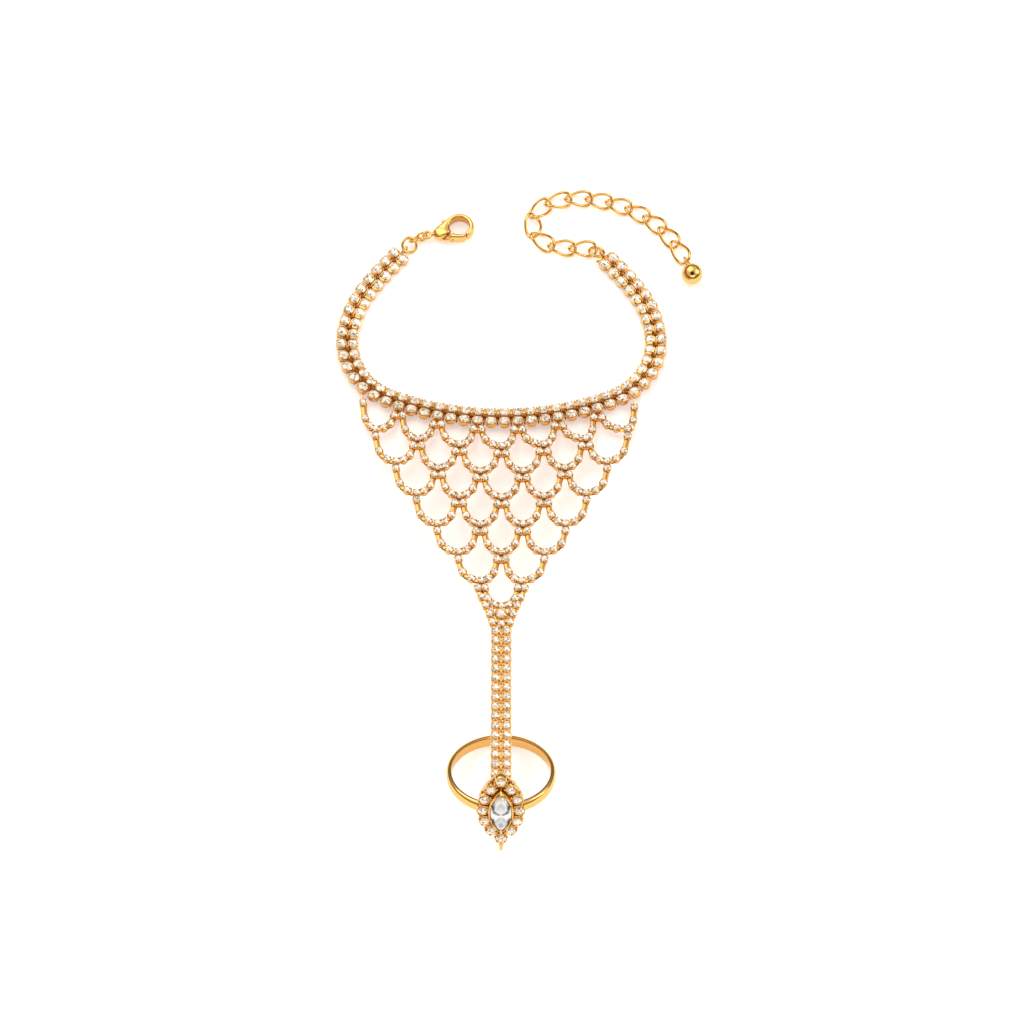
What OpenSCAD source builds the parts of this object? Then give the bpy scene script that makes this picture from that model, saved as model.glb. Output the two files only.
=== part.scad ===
// Hand chain bracelet: a wrist band of paired cups, a net of scallops over the
// hand, a double stem and a finger ring, lying at rest on a flat surface.
// Sizes are in millimetres. X runs to the right, Y away from the viewer, Z up.

/* [Piece] */
// Piece to draw, or all of them

/* [Wrist band] */
// Number of cup pairs along the band
band_pairs = 48; // [42:2:54]
// Length of one pair along the band
band_pitch = 2.56; // [2.4:0.02:2.8]
// Distance between the two rows of cups
band_rows = 2.3; // [2.26:0.02:2.5]
// Outer radius of a band cup
band_cup_r = 1.07; // [1:0.01:1.1]
// Height of a band cup
band_cup_h = 1.6; // [1.4:0.05:2]
// Angle by which the front of the band leans back
band_lean = 14; // [0:1:18]
// Girdle radius of a band stone
band_stone_r = 0.86; // [0.7:0.01:0.88]

/* [Hand mesh] */
// Distance between neighbouring junctions
mesh_pitch = 8.05; // [7.6:0.05:8.4]
// Outer radius of a mesh cup
mesh_cup_r = 0.7; // [0.6:0.02:0.74]
// Height of a mesh cup
mesh_cup_h = 1.2; // [1:0.05:1.6]

/* [Stem] */
// Number of separate cup pairs on the stem
stem_pairs = 15; // [12:1:18]
// Length of one pair along the stem
stem_pitch = 2.11; // [2.08:0.01:2.4]
// Distance between the two rows of the stem
stem_rows = 2.06; // [2:0.02:2.3]
// Outer radius of a stem cup
stem_cup_r = 0.92; // [0.8:0.01:0.93]
// Height of a stem cup
stem_cup_h = 1.4; // [1.2:0.05:1.8]
// Girdle radius of a stem stone
stem_stone_r = 0.7; // [0.5:0.01:0.74]

/* [Finger ring] */
// Radius of the finger bore
bore_r = 9; // [8:0.05:10]
// Thickness of the ring band
ring_wall = 1.05; // [0.9:0.05:1.4]
// Width of the ring band along the finger
ring_width = 2.2; // [1.8:0.1:3]
// Half width of the row of halo stones
halo_x = 3.32; // [3.2:0.02:3.6]
// Half length of the row of halo stones
halo_y = 6.82; // [6.6:0.02:7.2]
// Radius of a halo cup
halo_cup_r = 1.12; // [1:0.01:1.15]
// Girdle radius of a halo stone
halo_stone_r = 0.86; // [0.7:0.01:0.88]
// Half width of the marquise stone
marquise_x = 1.95; // [1.7:0.05:2]
// Half length of the marquise stone
marquise_y = 4.33; // [4:0.05:4.5]

/* [Clasp] */
// Thickness of the clasp body
clasp_h = 2.3; // [2:0.1:2.8]
// Thickness of the clasp lever
lever_h = 0.9; // [0.7:0.05:1]
// Radius of the lever pin
lever_pin_r = 0.4; // [0.3:0.05:0.45]
// Opening radius of the hook
hook_r = 1.9; // [1.7:0.05:2]

/* [Chain] */
// Distance from link to link
link_pitch = 4.1; // [4:0.02:4.2]
// Half length of a link's centre line
link_a = 2.7; // [2.64:0.01:2.8]
// Half width of a link's centre line
link_b = 1.52; // [1.45:0.01:1.65]
// Rise and fall of a link's wire
link_c = 0.66; // [0.6:0.01:0.75]
// Wire radius of a link
link_wire = 0.3; // [0.25:0.01:0.32]
// Radius of the end ball
ball_r = 2.1; // [1.8:0.05:2.4]

/* [Fits] */
// Clearance round the pins that hold pairs together
pin_clear = 0.12; // [0.1:0.01:0.14]
// Radial clearance of the lever on its pin
lever_clear = 0.05; // [0.02:0.01:0.08]

/* [Hidden] */
$fn = 48;
gold = [0.86, 0.62, 0.22];
clear_stone = [0.86, 0.9, 0.94];
// Scallops in the widest row of the net
mesh_rows = 7;
// Links in the extender chain
link_count = 13;
// Moves the object so that the middle of its box is over the origin
shift = [-3.51, -0.42, 0.01];

// Colours of the two materials. Both also put the object over the origin
module metal() {
  color(gold)
    translate(shift)
      children();
}
module gem() {
  color(clear_stone)
    translate(shift)
      children();
}

// Chosen points of the band's centre line, from the clasp end to the chain end
band_route = [[-19.6, 57.6], [-24.6, 51.6], [-28.6, 45.0], [-30.3, 37.4], [-28.9, 30.9],
  [-24.6, 25.6], [-17.6, 22.5], [-9, 20.45], [0, 19.75], [9, 20.45], [17.6, 22.5],
  [24.6, 25.6], [28.9, 30.9], [30.2, 37.4], [28.5, 45.0], [24.9, 50.9], [20.3, 56.4]];
// Chosen points of the chain's line, from its second link to the ball
chain_route = [[12.2, 58.35], [8.9, 59.3], [6.7, 61.6], [6.2, 64.4], [7.5, 67.1],
  [10.6, 69], [14.7, 69.7], [19.1, 69.3], [23.3, 68.1], [27.3, 66.1], [30.8, 63.4],
  [33.5, 60.1], [35.5, 56.6], [36.9, 53.1], [37.6, 50.2]];

// A point of the smooth curve between points b and c, at share t
function curve4(a, b, c, d, t) = 0.5 * (2 * b + (c - a) * t + (2 * a - 5 * b + 4 * c - d) * t * t
  + (3 * b - 3 * c + d - a) * t * t * t);
// The smooth curve through a list of points, n steps to each span
function smooth(p, n) = [for (i = [0:len(p) - 2]) for (j = [0:(i == len(p) - 2 ? n : n - 1)])
  curve4(i == 0 ? 2 * p[0] - p[1] : p[i - 1], p[i], p[i + 1],
    i == len(p) - 2 ? 2 * p[i + 1] - p[i] : p[i + 2], j / n)];
// Running length along a line of points
function lengths(p) = [for (i = 0, s = 0; i < len(p);
  s = s + (i + 1 < len(p) ? norm(p[i + 1] - p[i]) : 0), i = i + 1) s];
// The x and y of a line at a given running length
function along(xs, ys, s) = [lookup(s, xs), lookup(s, ys)];
// Direction of a vector in degrees
function heading(v) = atan2(v[1], v[0]);
// A smooth change from 0 to 1
function ease(t) = t <= 0 ? 0 : t >= 1 ? 1 : t * t * (3 - 2 * t);

band_line = smooth(band_route, 10);
band_s = lengths(band_line);
band_long = band_s[len(band_s) - 1];
band_xs = [for (i = [0:len(band_s) - 1]) [band_s[i], band_line[i][0]]];
band_ys = [for (i = [0:len(band_s) - 1]) [band_s[i], band_line[i][1]]];
// The band keeps its real length: the route grows or shrinks with the pairs
band_grow = band_pairs * band_pitch / band_long;
band_hub = [0, 19.75];
eye_z = 0.75;
reach = band_rows / 2 + band_cup_r;
function band_tilt(s) = band_lean * (1 - ease((abs(s - band_pairs * band_pitch / 2) - 29) / 18));
function band_xy(s) = band_hub + band_grow * (along(band_xs, band_ys, s / band_grow) - band_hub);
function band_z(s) = eye_z * cos(band_tilt(s)) + reach * sin(band_tilt(s));
// Pin positions, one more than there are pairs
pins = [for (i = [0:band_pairs]) let (s = i * band_pitch, q = band_xy(s)) [q[0], q[1], band_z(s)]];
function pair_mid(i) = (pins[i] + pins[i + 1]) / 2;
function pair_turn(i) = heading(pins[i + 1] - pins[i]);
function pair_rise(i) = asin((pins[i + 1][2] - pins[i][2]) / norm(pins[i + 1] - pins[i]));
function pair_tilt(i) = band_tilt((i + 0.5) * band_pitch);
// Centre of the outer cup of a pair, seen from above
function outer_cup(i) = let (m = pair_mid(i), h = pair_turn(i), o = band_rows / 2 * cos(pair_tilt(i)))
  [m[0] + o * sin(h), m[1] - o * cos(h)];

// The ring stands on the lower tip of its head and on its rear edge
head_back = bore_r + ring_wall - 0.45;
head_half = halo_y + 2.88;
ring_lean = atan((head_half - ring_width / 2) / (bore_r + ring_wall + head_back));
ring_z = (bore_r + ring_wall) * sin(ring_lean) + ring_width / 2 * cos(ring_lean);
// Where the stem's last pin meets the head: along the finger and out from the ring's middle
pin_a = halo_y - 0.35;
pin_n = head_back - 0.85;
pin_z = ring_z + pin_a * cos(ring_lean) + pin_n * sin(ring_lean);

// Panel that holds net and stem: its local plane is the mid plane of the net
panel_y = 19;
panel_z = 1.5;
stem_top = -49.73;
stem_end = stem_top - (stem_pairs + 0.5) * stem_pitch;
// Slope that brings the stem's end up to the head
mesh_slope = asin((pin_z - panel_z) / -stem_end);
module on_panel() {
  translate([0, panel_y, panel_z])
    rotate([-mesh_slope, 0, 0])
      children();
}
function to_panel(q) = [q[0], (q[1] - panel_y) / cos(mesh_slope)];

// Junctions of the net. Row 0 hangs from every third pair of the band
hang_drop = 0.4;
pair_x = 0.8;
hang_down = 0.5;
function hanger_pair(k) = band_pairs / 2 - 11 + 3 * k;
function hanger_eye(k) = let (c = outer_cup(hanger_pair(k)), far = k == 0 || k == mesh_rows)
  to_panel([c[0] + (far ? (k == 0 ? 0.15 : -0.15) : 0), c[1] - band_cup_r - (far ? 1.5 : hang_drop)]);
row_y = [0, -8.04, -14.05, -20.2, -26.65, -33.2, -39.85];
row_bow = [0, 0.0071, 0.0058, 0.0036, 0.001, 0, 0];
function joint_x(r, k) = (k - (mesh_rows - r) / 2) * mesh_pitch;
function joint_at(r, k) = r == 0 ? hanger_eye(k) - [0, hang_down]
  : [joint_x(r, k) * (r == 6 ? 0.93 : 1), row_y[r] + row_bow[r] * joint_x(r, k) * joint_x(r, k)];
last_y = -44;
function under(r, k) = r == mesh_rows - 1 ? [0, last_y] : joint_at(r + 1, k) + [0, 1.75];
// Side step of a scallop's first cup from its junction: none on the edges of the net
function side_step(r, k) = (k == 0 || k == mesh_rows - r) && r != mesh_rows - 1 ? 0 : (r == 6 ? 0.66 : pair_x);
scallop_turns = [0, 36, 64, 90];
// The seven cups of one scallop, left to right
function scallop(r, k) = let (a = joint_at(r, k) + [side_step(r, k), 0],
    b = joint_at(r, k + 1) - [side_step(r, k + 1), 0], m = under(r, k))
  [for (i = [0:6]) let (t = scallop_turns[i < 4 ? i : 6 - i], e = i < 3 ? a : b)
    i == 3 ? m : [m[0] + (e[0] - m[0]) * cos(t), e[1] + (m[1] - e[1]) * sin(t)]];
// Cups of a flank of the yoke, from the net to the stem
flank = [[4.32, -39.85], [3.62, -41.95], [2.86, -43.85], [2.14, -45.8], [1.62, -47.7]];

// Eight-sided cut stone: table, crown, girdle and pavilion, its girdle at z = 0
module stone(r) {
  ring = [for (i = [0:7]) [cos(45 * i + 22.5), sin(45 * i + 22.5)]];
  pts = concat([for (q = ring) [q[0] * r * 0.58, q[1] * r * 0.58, r * 0.34]],
    [for (q = ring) [q[0] * r, q[1] * r, 0.03]], [for (q = ring) [q[0] * r, q[1] * r, -0.03]],
    [[0, 0, -r * 0.46]]);
  faces = concat([[for (i = [7:-1:0]) i]],
    [for (i = [0:7]) [i, (i + 1) % 8, 8 + (i + 1) % 8, 8 + i]],
    [for (i = [0:7]) [8 + i, 8 + (i + 1) % 8, 16 + (i + 1) % 8, 16 + i]],
    [for (i = [0:7]) [16 + i, 16 + (i + 1) % 8, 24]]);
  polyhedron(pts, faces);
}

// One rigid pair of cups. X runs along the chain and z = 0 is the plane of its eye
module pair(pitch, rows, cup_r, cup_h, stone_r, eye_r, pin_r) {
  eye_t = 0.3;
  low = -eye_z;
  seat_r = stone_r + 0.04;
  top = low + cup_h;
  difference() {
    union() {
      for (e = [-1, 1])
        translate([0, e * rows / 2, low])
          cylinder(r = cup_r, h = cup_h);
      translate([-0.4, -rows / 2, low + 0.15])
        cube([0.8, rows, cup_h - 0.45]);
      pair_eye(pitch, eye_r, eye_t, pin_r);
      pair_fork(pitch, eye_r, eye_t, pin_r);
    }
    for (e = [-1, 1]) {
      translate([0, e * rows / 2, top - 0.78])
        cylinder(r = seat_r, h = 1);
      for (t = [0, 90])
        translate([0, e * rows / 2, top])
          rotate([0, 0, t])
            cube([2.6, cup_r * 0.85, 0.44], center = true);
    }
    translate([pitch / 2, 0, -eye_t])
      cylinder(r = pin_r + pin_clear, h = 2 * eye_t, $fn = 24);
  }
}
// Flat tongue on the forward side
module pair_eye(pitch, eye_r, eye_t, pin_r) {
  translate([0, -0.25, -eye_t / 2])
    cube([pitch / 2, 0.5, eye_t]);
  translate([pitch / 2, 0, -eye_t / 2])
    cylinder(r = eye_r, h = eye_t, $fn = 24);
}
// Two plates and a pin on the rear side
module pair_fork(pitch, eye_r, eye_t, pin_r) {
  gap = eye_t / 2 + pin_clear + 0.01;
  for (z = [-gap - 0.22, gap]) {
    translate([-pitch / 2, -eye_r + 0.06, z])
      cube([pitch / 2, 2 * eye_r - 0.12, 0.22]);
    translate([-pitch / 2, 0, z])
      cylinder(r = eye_r - 0.02, h = 0.22, $fn = 24);
  }
  translate([-pitch / 2, 0, -gap - 0.11])
    cylinder(r = pin_r, h = 2 * gap + 0.22, $fn = 24);
}

band_eye_r = 0.5;
band_pin_r = 0.16;
module place_pair(i) {
  translate(pair_mid(i))
    rotate([0, 0, pair_turn(i)])
      rotate([0, -pair_rise(i), 0])
        rotate([-pair_tilt(i), 0, 0])
          children();
}
// Upright loop on the free side of the first and the last pair
end_loop_r = 0.72;
end_loop_wire = 0.2;
end_loop_z = 0.97;
end_reach = band_pitch / 2 + 0.6;
function end_loop_at(i, side) = ahead(pair_mid(i), pair_turn(i), side * end_reach);
module band_end_loop(i, side) {
  q = end_loop_at(i, side);
  translate([q[0], q[1], end_loop_z])
    rotate([0, 0, pair_turn(i)]) {
      rotate([90, 0, 0])
        rotate_extrude($fn = 32)
          translate([end_loop_r, 0])
            circle(r = end_loop_wire, $fn = 16);
      translate([-side * (end_loop_r - 0.05) - (side > 0 ? 1.1 : 0), -0.3, -0.4])
        cube([1.1, 0.6, 0.5]);
    }
}
module hanger(k) {
  c = to_panel(outer_cup(hanger_pair(k)));
  q = hanger_eye(k);
  v = c - q;
  far = norm(v) - band_cup_r + 0.12;
  on_panel()
    translate([q[0], q[1], 0])
      difference() {
        union() {
          rotate([0, 90, 0])
            cylinder(r = 0.36, h = 0.3, center = true, $fn = 24);
          rotate([0, 0, heading(v)])
            translate([0.24, -0.15, -0.22])
              cube([far - 0.24, 0.3, far > 1 ? 1.1 : 0.44]);
        }
        rotate([0, 90, 0])
          cylinder(r = 0.13 + pin_clear, h = 1, center = true, $fn = 24);
      }
}
module band_settings(from, to) {
  metal()
    for (i = [from:to]) {
      if (i == 0 || i == band_pairs - 1) {
        difference() {
          place_pair(i)
            pair(band_pitch, band_rows, band_cup_r, band_cup_h, band_stone_r, band_eye_r, band_pin_r);
          place_pair(i)
            translate([(i == 0 ? -1 : 1) * (band_pitch / 2 + 0.05), 0, 0])
              cube([1.5, 1.4, 3], center = true);
        }
        band_end_loop(i, i == 0 ? -1 : 1);
      } else
        place_pair(i)
          pair(band_pitch, band_rows, band_cup_r, band_cup_h, band_stone_r, band_eye_r, band_pin_r);
      for (k = [0:mesh_rows])
        if (hanger_pair(k) == i)
          hanger(k);
    }
}
module band_stones(from, to) {
  gem()
    for (i = [from:to])
      for (e = [-1, 1])
        place_pair(i)
          translate([0, e * band_rows / 2, band_cup_h - eye_z - 0.3])
            stone(band_stone_r - 0.02);
}

// Strip between two cups
module strip(a, b, w) {
  translate(a)
    rotate([0, 0, heading(b - a)])
      translate([0, -w / 2])
        square([norm(b - a), w]);
}
mesh_base = 0.55;
mesh_low = -0.5;
module mesh_plan() {
  for (r = [0:mesh_rows - 1])
    for (k = [0:mesh_rows - 1 - r]) {
      s = scallop(r, k);
      for (i = [0:5])
        strip(s[i], s[i + 1], 0.7);
      if (r < mesh_rows - 1)
        strip(s[3], joint_at(r + 1, k) - [0, 0.3], 0.8);
    }
  for (r = [0:mesh_rows - 1])
    for (k = [0:mesh_rows - r])
      if (side_step(r, k) > 0)
        strip(joint_at(r, k) - [side_step(r, k), 0.15], joint_at(r, k) + [side_step(r, k), -0.15], 0.6);
  for (e = [-1, 1]) {
    for (i = [0:len(flank) - 2])
      strip([e * flank[i][0], flank[i][1]], [e * flank[i + 1][0], flank[i + 1][1]], 0.7);
    strip([e * flank[4][0], flank[4][1]], [e * stem_rows / 2, stem_top], 0.7);
  }
  strip([0, last_y], [0, -48.2], 0.7);
  strip([-1.7, -47.8], [1.7, -47.8], 0.7);
  strip([-stem_rows / 2, stem_top], [stem_rows / 2, stem_top], 0.8);
}
module mesh_cups() {
  for (r = [0:mesh_rows - 1])
    for (k = [0:mesh_rows - 1 - r]) {
      s = scallop(r, k);
      for (i = [0:6])
        mesh_cup(s[i]);
    }
  for (e = [-1, 1])
    for (q = flank)
      mesh_cup([e * q[0], q[1]]);
}
module mesh_cup(q) {
  translate([q[0], q[1], mesh_low])
    cylinder(r = mesh_cup_r, h = mesh_cup_h, $fn = 24);
}
module hanger_pin(k) {
  q = hanger_eye(k);
  far = k == 0 || k == mesh_rows;
  w = far ? 0.5 : pair_x;
  translate([q[0], q[1], 0]) {
    rotate([0, 90, 0])
      cylinder(r = 0.13, h = 2 * w, center = true, $fn = 24);
    if (far)
      for (e = [-1, 1])
        translate([e * 0.5 - 0.15, -0.7, -0.3])
          cube([0.3, 0.9, 0.6]);
  }
}
module hand_mesh() {
  metal()
    on_panel() {
      difference() {
        union() {
          translate([0, 0, mesh_low])
            linear_extrude(mesh_base)
              mesh_plan();
          mesh_cups();
        }
        for (k = [0:mesh_rows])
          translate([hanger_eye(k)[0] - 0.28, hanger_eye(k)[1] - 0.5, -2])
            cube([0.56, 2, 4]);
        for (e = [-1, 1])
          translate([e * stem_rows / 2, stem_top, stem_cup_h - eye_z - 0.78])
            cylinder(r = stem_stone_r + 0.04, h = 1);
      }
      for (k = [0:mesh_rows])
        hanger_pin(k);
      yoke_end();
    }
}
// Centre setting of the yoke and the first pair of the stem
module yoke_end() {
  translate([0, -46, mesh_low])
    difference() {
      cylinder(r = 1.25, h = 1.5);
      translate([0, 0, 0.75])
        cylinder(r = 0.95, h = 2);
    }
  translate([0, stem_top, 0])
    rotate([0, 0, -90])
      difference() {
        pair(stem_pitch, stem_rows, stem_cup_r, stem_cup_h, stem_stone_r, stem_eye_r, stem_pin_r);
        translate([-stem_pitch / 2 - 0.2, 0, 0])
          cube([1, 1.2, 3], center = true);
      }
}
module yoke_stone() {
  gem()
    on_panel()
      translate([0, -46, mesh_low + 1.28])
        stone(0.86);
}

stem_eye_r = 0.43;
stem_pin_r = 0.13;
module place_stem(i) {
  on_panel()
    translate([0, stem_top - i * stem_pitch, 0])
      rotate([0, 0, -90])
        children();
}
module stem_settings() {
  metal()
    for (i = [1:stem_pairs])
      place_stem(i)
        pair(stem_pitch, stem_rows, stem_cup_r, stem_cup_h, stem_stone_r, stem_eye_r, stem_pin_r);
}
module stem_stones() {
  gem()
    for (i = [0:stem_pairs])
      for (e = [-1, 1])
        place_stem(i)
          translate([0, e * stem_rows / 2, stem_cup_h - eye_z - 0.3])
            stone(stem_stone_r - 0.02);
}

// The ring is put where the head's back meets the stem
ring_y = panel_y + stem_end * cos(mesh_slope) + pin_n * cos(ring_lean) - pin_a * sin(ring_lean);
module on_ring() {
  translate([0, ring_y, ring_z])
    rotate([-ring_lean, 0, 0])
      children();
}
module on_head() {
  on_ring()
    translate([0, -head_back, 0])
      rotate([90, 0, 0])
        children();
}
// Two arcs that meet in a point at each end
module lens(x, y) {
  r = (x * x + y * y) / (2 * x);
  intersection() {
    translate([x - r, 0])
      circle(r = r);
    translate([r - x, 0])
      circle(r = r);
  }
}
lens_r = (halo_x * halo_x + halo_y * halo_y) / (2 * halo_x);
lens_turn = asin(halo_y / lens_r);
halo_mid = 1.5;
function halo_at(i) = let (e = i <= 6 ? 1 : -1, j = i <= 6 ? i : 12 - i, t = lens_turn * (1 - j / 3))
  [e * (halo_x - lens_r + lens_r * cos(t)), halo_mid + lens_r * sin(t)];
plate_t = 1.1;
halo_h = 2.1;
module head_setting() {
  difference() {
    union() {
      linear_extrude(plate_t)
        union() {
          translate([0, halo_mid])
            lens(halo_x + 0.95, halo_y + 1.1);
          polygon([[0, -head_half], [1.2, -head_half + 4.05], [-1.2, -head_half + 4.05]]);
        }
      for (i = [0:11])
        translate([halo_at(i)[0], halo_at(i)[1], 0])
          cylinder(r = halo_cup_r, h = halo_h);
      linear_extrude(3.1)
        translate([0, halo_mid])
          lens(marquise_x + 0.35, marquise_y + 0.6);
    }
    for (i = [0:11])
      translate([halo_at(i)[0], halo_at(i)[1], halo_h - 0.78])
        cylinder(r = halo_stone_r + 0.04, h = 2);
    translate([0, halo_mid, 1.3])
      linear_extrude(3)
        lens(marquise_x + 0.05, marquise_y + 0.1);
  }
}
module finger_ring() {
  metal() {
    on_ring()
      difference() {
        cylinder(r = bore_r + ring_wall, h = ring_width, center = true, $fn = 96);
        cylinder(r = bore_r, h = ring_width + 2, center = true, $fn = 96);
      }
    on_head()
      head_setting();
    ring_lug();
  }
}
// Lug on the back of the head, with the fork that holds the stem
module ring_lug() {
  on_panel()
    translate([0, stem_end - stem_pitch / 2, 0])
      rotate([0, 0, -90])
        pair_fork(stem_pitch, stem_eye_r, 0.3, stem_pin_r);
  on_panel()
    translate([-0.6, stem_end - 1.6, -0.5])
      cube([1.2, 0.95, 1]);
}
module marquise_stone() {
  gem()
    on_head()
      translate([0, halo_mid, 2.45])
        marquise(marquise_x - 0.08, marquise_y - 0.2, 1.6);
}
// Boat-shaped cut stone: a table, two rows of crown facets and a keel below
module marquise(x, y, h) {
  r = (x * x + y * y) / (2 * x);
  turn = asin(y / r);
  half = [for (i = [0:5]) let (t = turn * (1 - i / 3)) [x - r + r * cos(t), r * sin(t)]];
  rim = concat(half, [for (q = half) -q]);
  n = 12;
  pts = concat([for (q = rim) [q[0] * 0.55, q[1] * 0.62, h * 0.45]],
    [for (q = rim) [q[0] * 0.85, q[1] * 0.87, h * 0.26]],
    [for (q = rim) [q[0], q[1], 0.04]], [for (q = rim) [q[0], q[1], -0.06]],
    [[0, 0, -h * 0.6]]);
  faces = concat([[for (i = [0:n - 1]) i]],
    [for (j = [0:2]) for (i = [0:n - 1]) [n * j + i, n * j + n + i, n * j + n + (i + 1) % n]],
    [for (j = [0:2]) for (i = [0:n - 1]) [n * j + i, n * j + n + (i + 1) % n, n * j + (i + 1) % n]],
    [for (i = [0:n - 1]) [3 * n + i, 4 * n, 3 * n + (i + 1) % n]]);
  polyhedron(pts, faces);
}
module halo_stone(i) {
  gem()
    on_head()
      translate([halo_at(i - 1)[0], halo_at(i - 1)[1], halo_h - 0.22])
        stone(halo_stone_r - 0.02);
}

// Round ring of wire. Turn is its direction, lean its angle from flat
module wire_ring(at, turn, lean, r, wire) {
  metal()
    translate(at)
      rotate([0, 0, turn])
        rotate([lean, 0, 0])
          rotate_extrude($fn = 32)
            translate([r, 0])
              circle(r = wire, $fn = 16);
}
// A point so far ahead of q in the direction turn, and so far to its left
function ahead(q, turn, d, left = 0) = [q[0] + d * cos(turn) - left * sin(turn),
  q[1] + d * sin(turn) + left * cos(turn)];
jump_r = 1.45;
jump_wire = 0.28;
small_wire = 0.23;
small_r = [1.15, 1];
small_lean = [-42.7, 75.4];
// Every ring rests with its lowest wire on the table
function ring_rest(r, lean, wire) = r * abs(sin(lean)) + wire + 0.02;
left_out = pair_turn(0) + 180;
left_jump_turn = left_out - 12;
left_jump_lean = 36;
left_jump_at = ahead(end_loop_at(0, -1), left_out, 1.369, -0.033);
small_1_at = ahead(left_jump_at, left_jump_turn, 1.681, 0.486);
small_2_at = ahead(left_jump_at, left_jump_turn, 3.083, 0.047);
eye_at = ahead(left_jump_at, left_jump_turn, 4.107, -0.268);
module left_jump_ring() {
  wire_ring([left_jump_at[0], left_jump_at[1], ring_rest(jump_r, left_jump_lean, jump_wire)],
    left_jump_turn, left_jump_lean, jump_r, jump_wire);
}
module small_ring(i, q) {
  wire_ring([q[0], q[1], ring_rest(small_r[i], small_lean[i], small_wire)], left_jump_turn - 17,
    small_lean[i], small_r[i], small_wire);
}
module small_ring_1() {
  small_ring(0, small_1_at);
}
module small_ring_2() {
  small_ring(1, small_2_at);
}

// Clasp, drawn with its eye at the origin and its hook along X
clasp_turn = 8;
hook_at = [6.55, 0.75];
hook_wall = 1.05;
lever_at = [2.9, 0.1];
// The gate of the lever starts this far from its pin
gate_start = 1.9;
lever_swing = 20;
gate_h = 1.7;
eye_wire = 0.28;
clasp_mid = clasp_h / 2;
module on_clasp() {
  translate([eye_at[0], eye_at[1], 0.1])
    rotate([0, 0, clasp_turn])
      children();
}
module clasp_outline() {
  translate(hook_at)
    circle(r = hook_r + hook_wall);
  translate([2.7, 0])
    circle(r = 1.45);
  polygon([[2.1, 1.3], [5.1, 3.35], [7, 3.5], [6.2, -2.1], [2.7, -1.45]]);
}
// Everything on the lever's side of the line where its tip meets the hook
module before_tip(gap) {
  translate([7.45 + gap, -1])
    rotate([0, 0, 58])
      translate([-6, 0])
        square([6.6, 12]);
}
// A wedge that opens from the lever's pin, between two directions
module pin_wedge(from, to) {
  translate(lever_at)
    polygon([[0, 0], 9 * [cos(from), sin(from)], 9 * [cos((from + to) / 2), sin((from + to) / 2)],
      9 * [cos(to), sin(to)]]);
}
// Room in the body for the gate, at rest and when it is pressed in
module gate_room() {
  difference() {
    intersection() {
      pin_wedge(-85, lever_swing + 3);
      before_tip(0.06);
    }
    translate(lever_at)
      circle(r = gate_start - 0.1);
  }
}
// The part of the hook's ring that the lever closes
module gate_plan() {
  difference() {
    intersection() {
      translate(hook_at)
        difference() {
          circle(r = hook_r + hook_wall);
          circle(r = hook_r);
        }
      pin_wedge(-80, -4);
      before_tip(0);
    }
    translate(lever_at)
      circle(r = gate_start);
  }
}
module clasp_body() {
  metal()
    on_clasp() {
      difference() {
        linear_extrude(clasp_h)
          clasp_outline();
        translate([hook_at[0], hook_at[1], -1])
          cylinder(r = hook_r, h = 5);
        translate([0, 0, -1])
          linear_extrude(5)
            gate_room();
        translate([0, 0, clasp_mid - lever_h / 2 - 0.1])
          linear_extrude(lever_h + 0.2) {
            translate(lever_at)
              circle(r = 0.95);
            translate(lever_at)
              polygon([[-0.9, -0.3], [-0.9, -3], [2.6, -3], [2.6, 1.2], [-0.2, 0.93]]);
          }
      }
      translate([lever_at[0], lever_at[1], 0.2])
        cylinder(r = lever_pin_r, h = clasp_h - 0.4);
      translate([3.7, 2.35, clasp_mid])
        sphere(r = 0.6, $fn = 24);
      translate([0, 0, clasp_mid])
        rotate_extrude($fn = 32)
          translate([0.75, 0])
            circle(r = eye_wire, $fn = 16);
      translate([0.85, -0.35, clasp_mid - 0.28])
        cube([0.7, 0.7, 0.56]);
    }
}
module clasp_lever() {
  metal()
    on_clasp()
      difference() {
        union() {
          translate([0, 0, clasp_mid - lever_h / 2])
            linear_extrude(lever_h) {
              translate(lever_at)
                circle(r = 0.8);
              translate(lever_at)
                polygon([[0.05, 0.75], [2.1, -0.15], [2.3, -1.7], [0, -0.75]]);
              translate(lever_at + [1.75, -1.85])
                circle(r = 0.5, $fn = 24);
            }
          translate([0, 0, clasp_mid - gate_h / 2])
            linear_extrude(gate_h)
              gate_plan();
        }
        translate([lever_at[0], lever_at[1], -1])
          cylinder(r = lever_pin_r + lever_clear, h = 5);
      }
}

right_out = pair_turn(band_pairs - 1);
right_loop_at = end_loop_at(band_pairs - 1, 1);
right_jump_lean = 22.5;
module right_jump_ring() {
  q = ahead(right_loop_at, right_out, 1.367, 0.334);
  wire_ring([q[0], q[1], ring_rest(jump_r, right_jump_lean, jump_wire)], right_out + 25.2,
    right_jump_lean, jump_r, jump_wire);
}

link_1_at = ahead(right_loop_at, right_out, 3.679, 1.964);
chain_line = smooth(concat([link_1_at], chain_route), 8);
chain_s = lengths(chain_line);
chain_xs = [for (i = [0:len(chain_s) - 1]) [chain_s[i], chain_line[i][0]]];
chain_ys = [for (i = [0:len(chain_s) - 1]) [chain_s[i], chain_line[i][1]]];
function chain_xy(s) = along(chain_xs, chain_ys, s);
function chain_turn(s) = heading(chain_xy(s + 1.5) - chain_xy(max(s - 1.5, 0)));
link_z = link_c + link_wire + 0.02;
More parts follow.
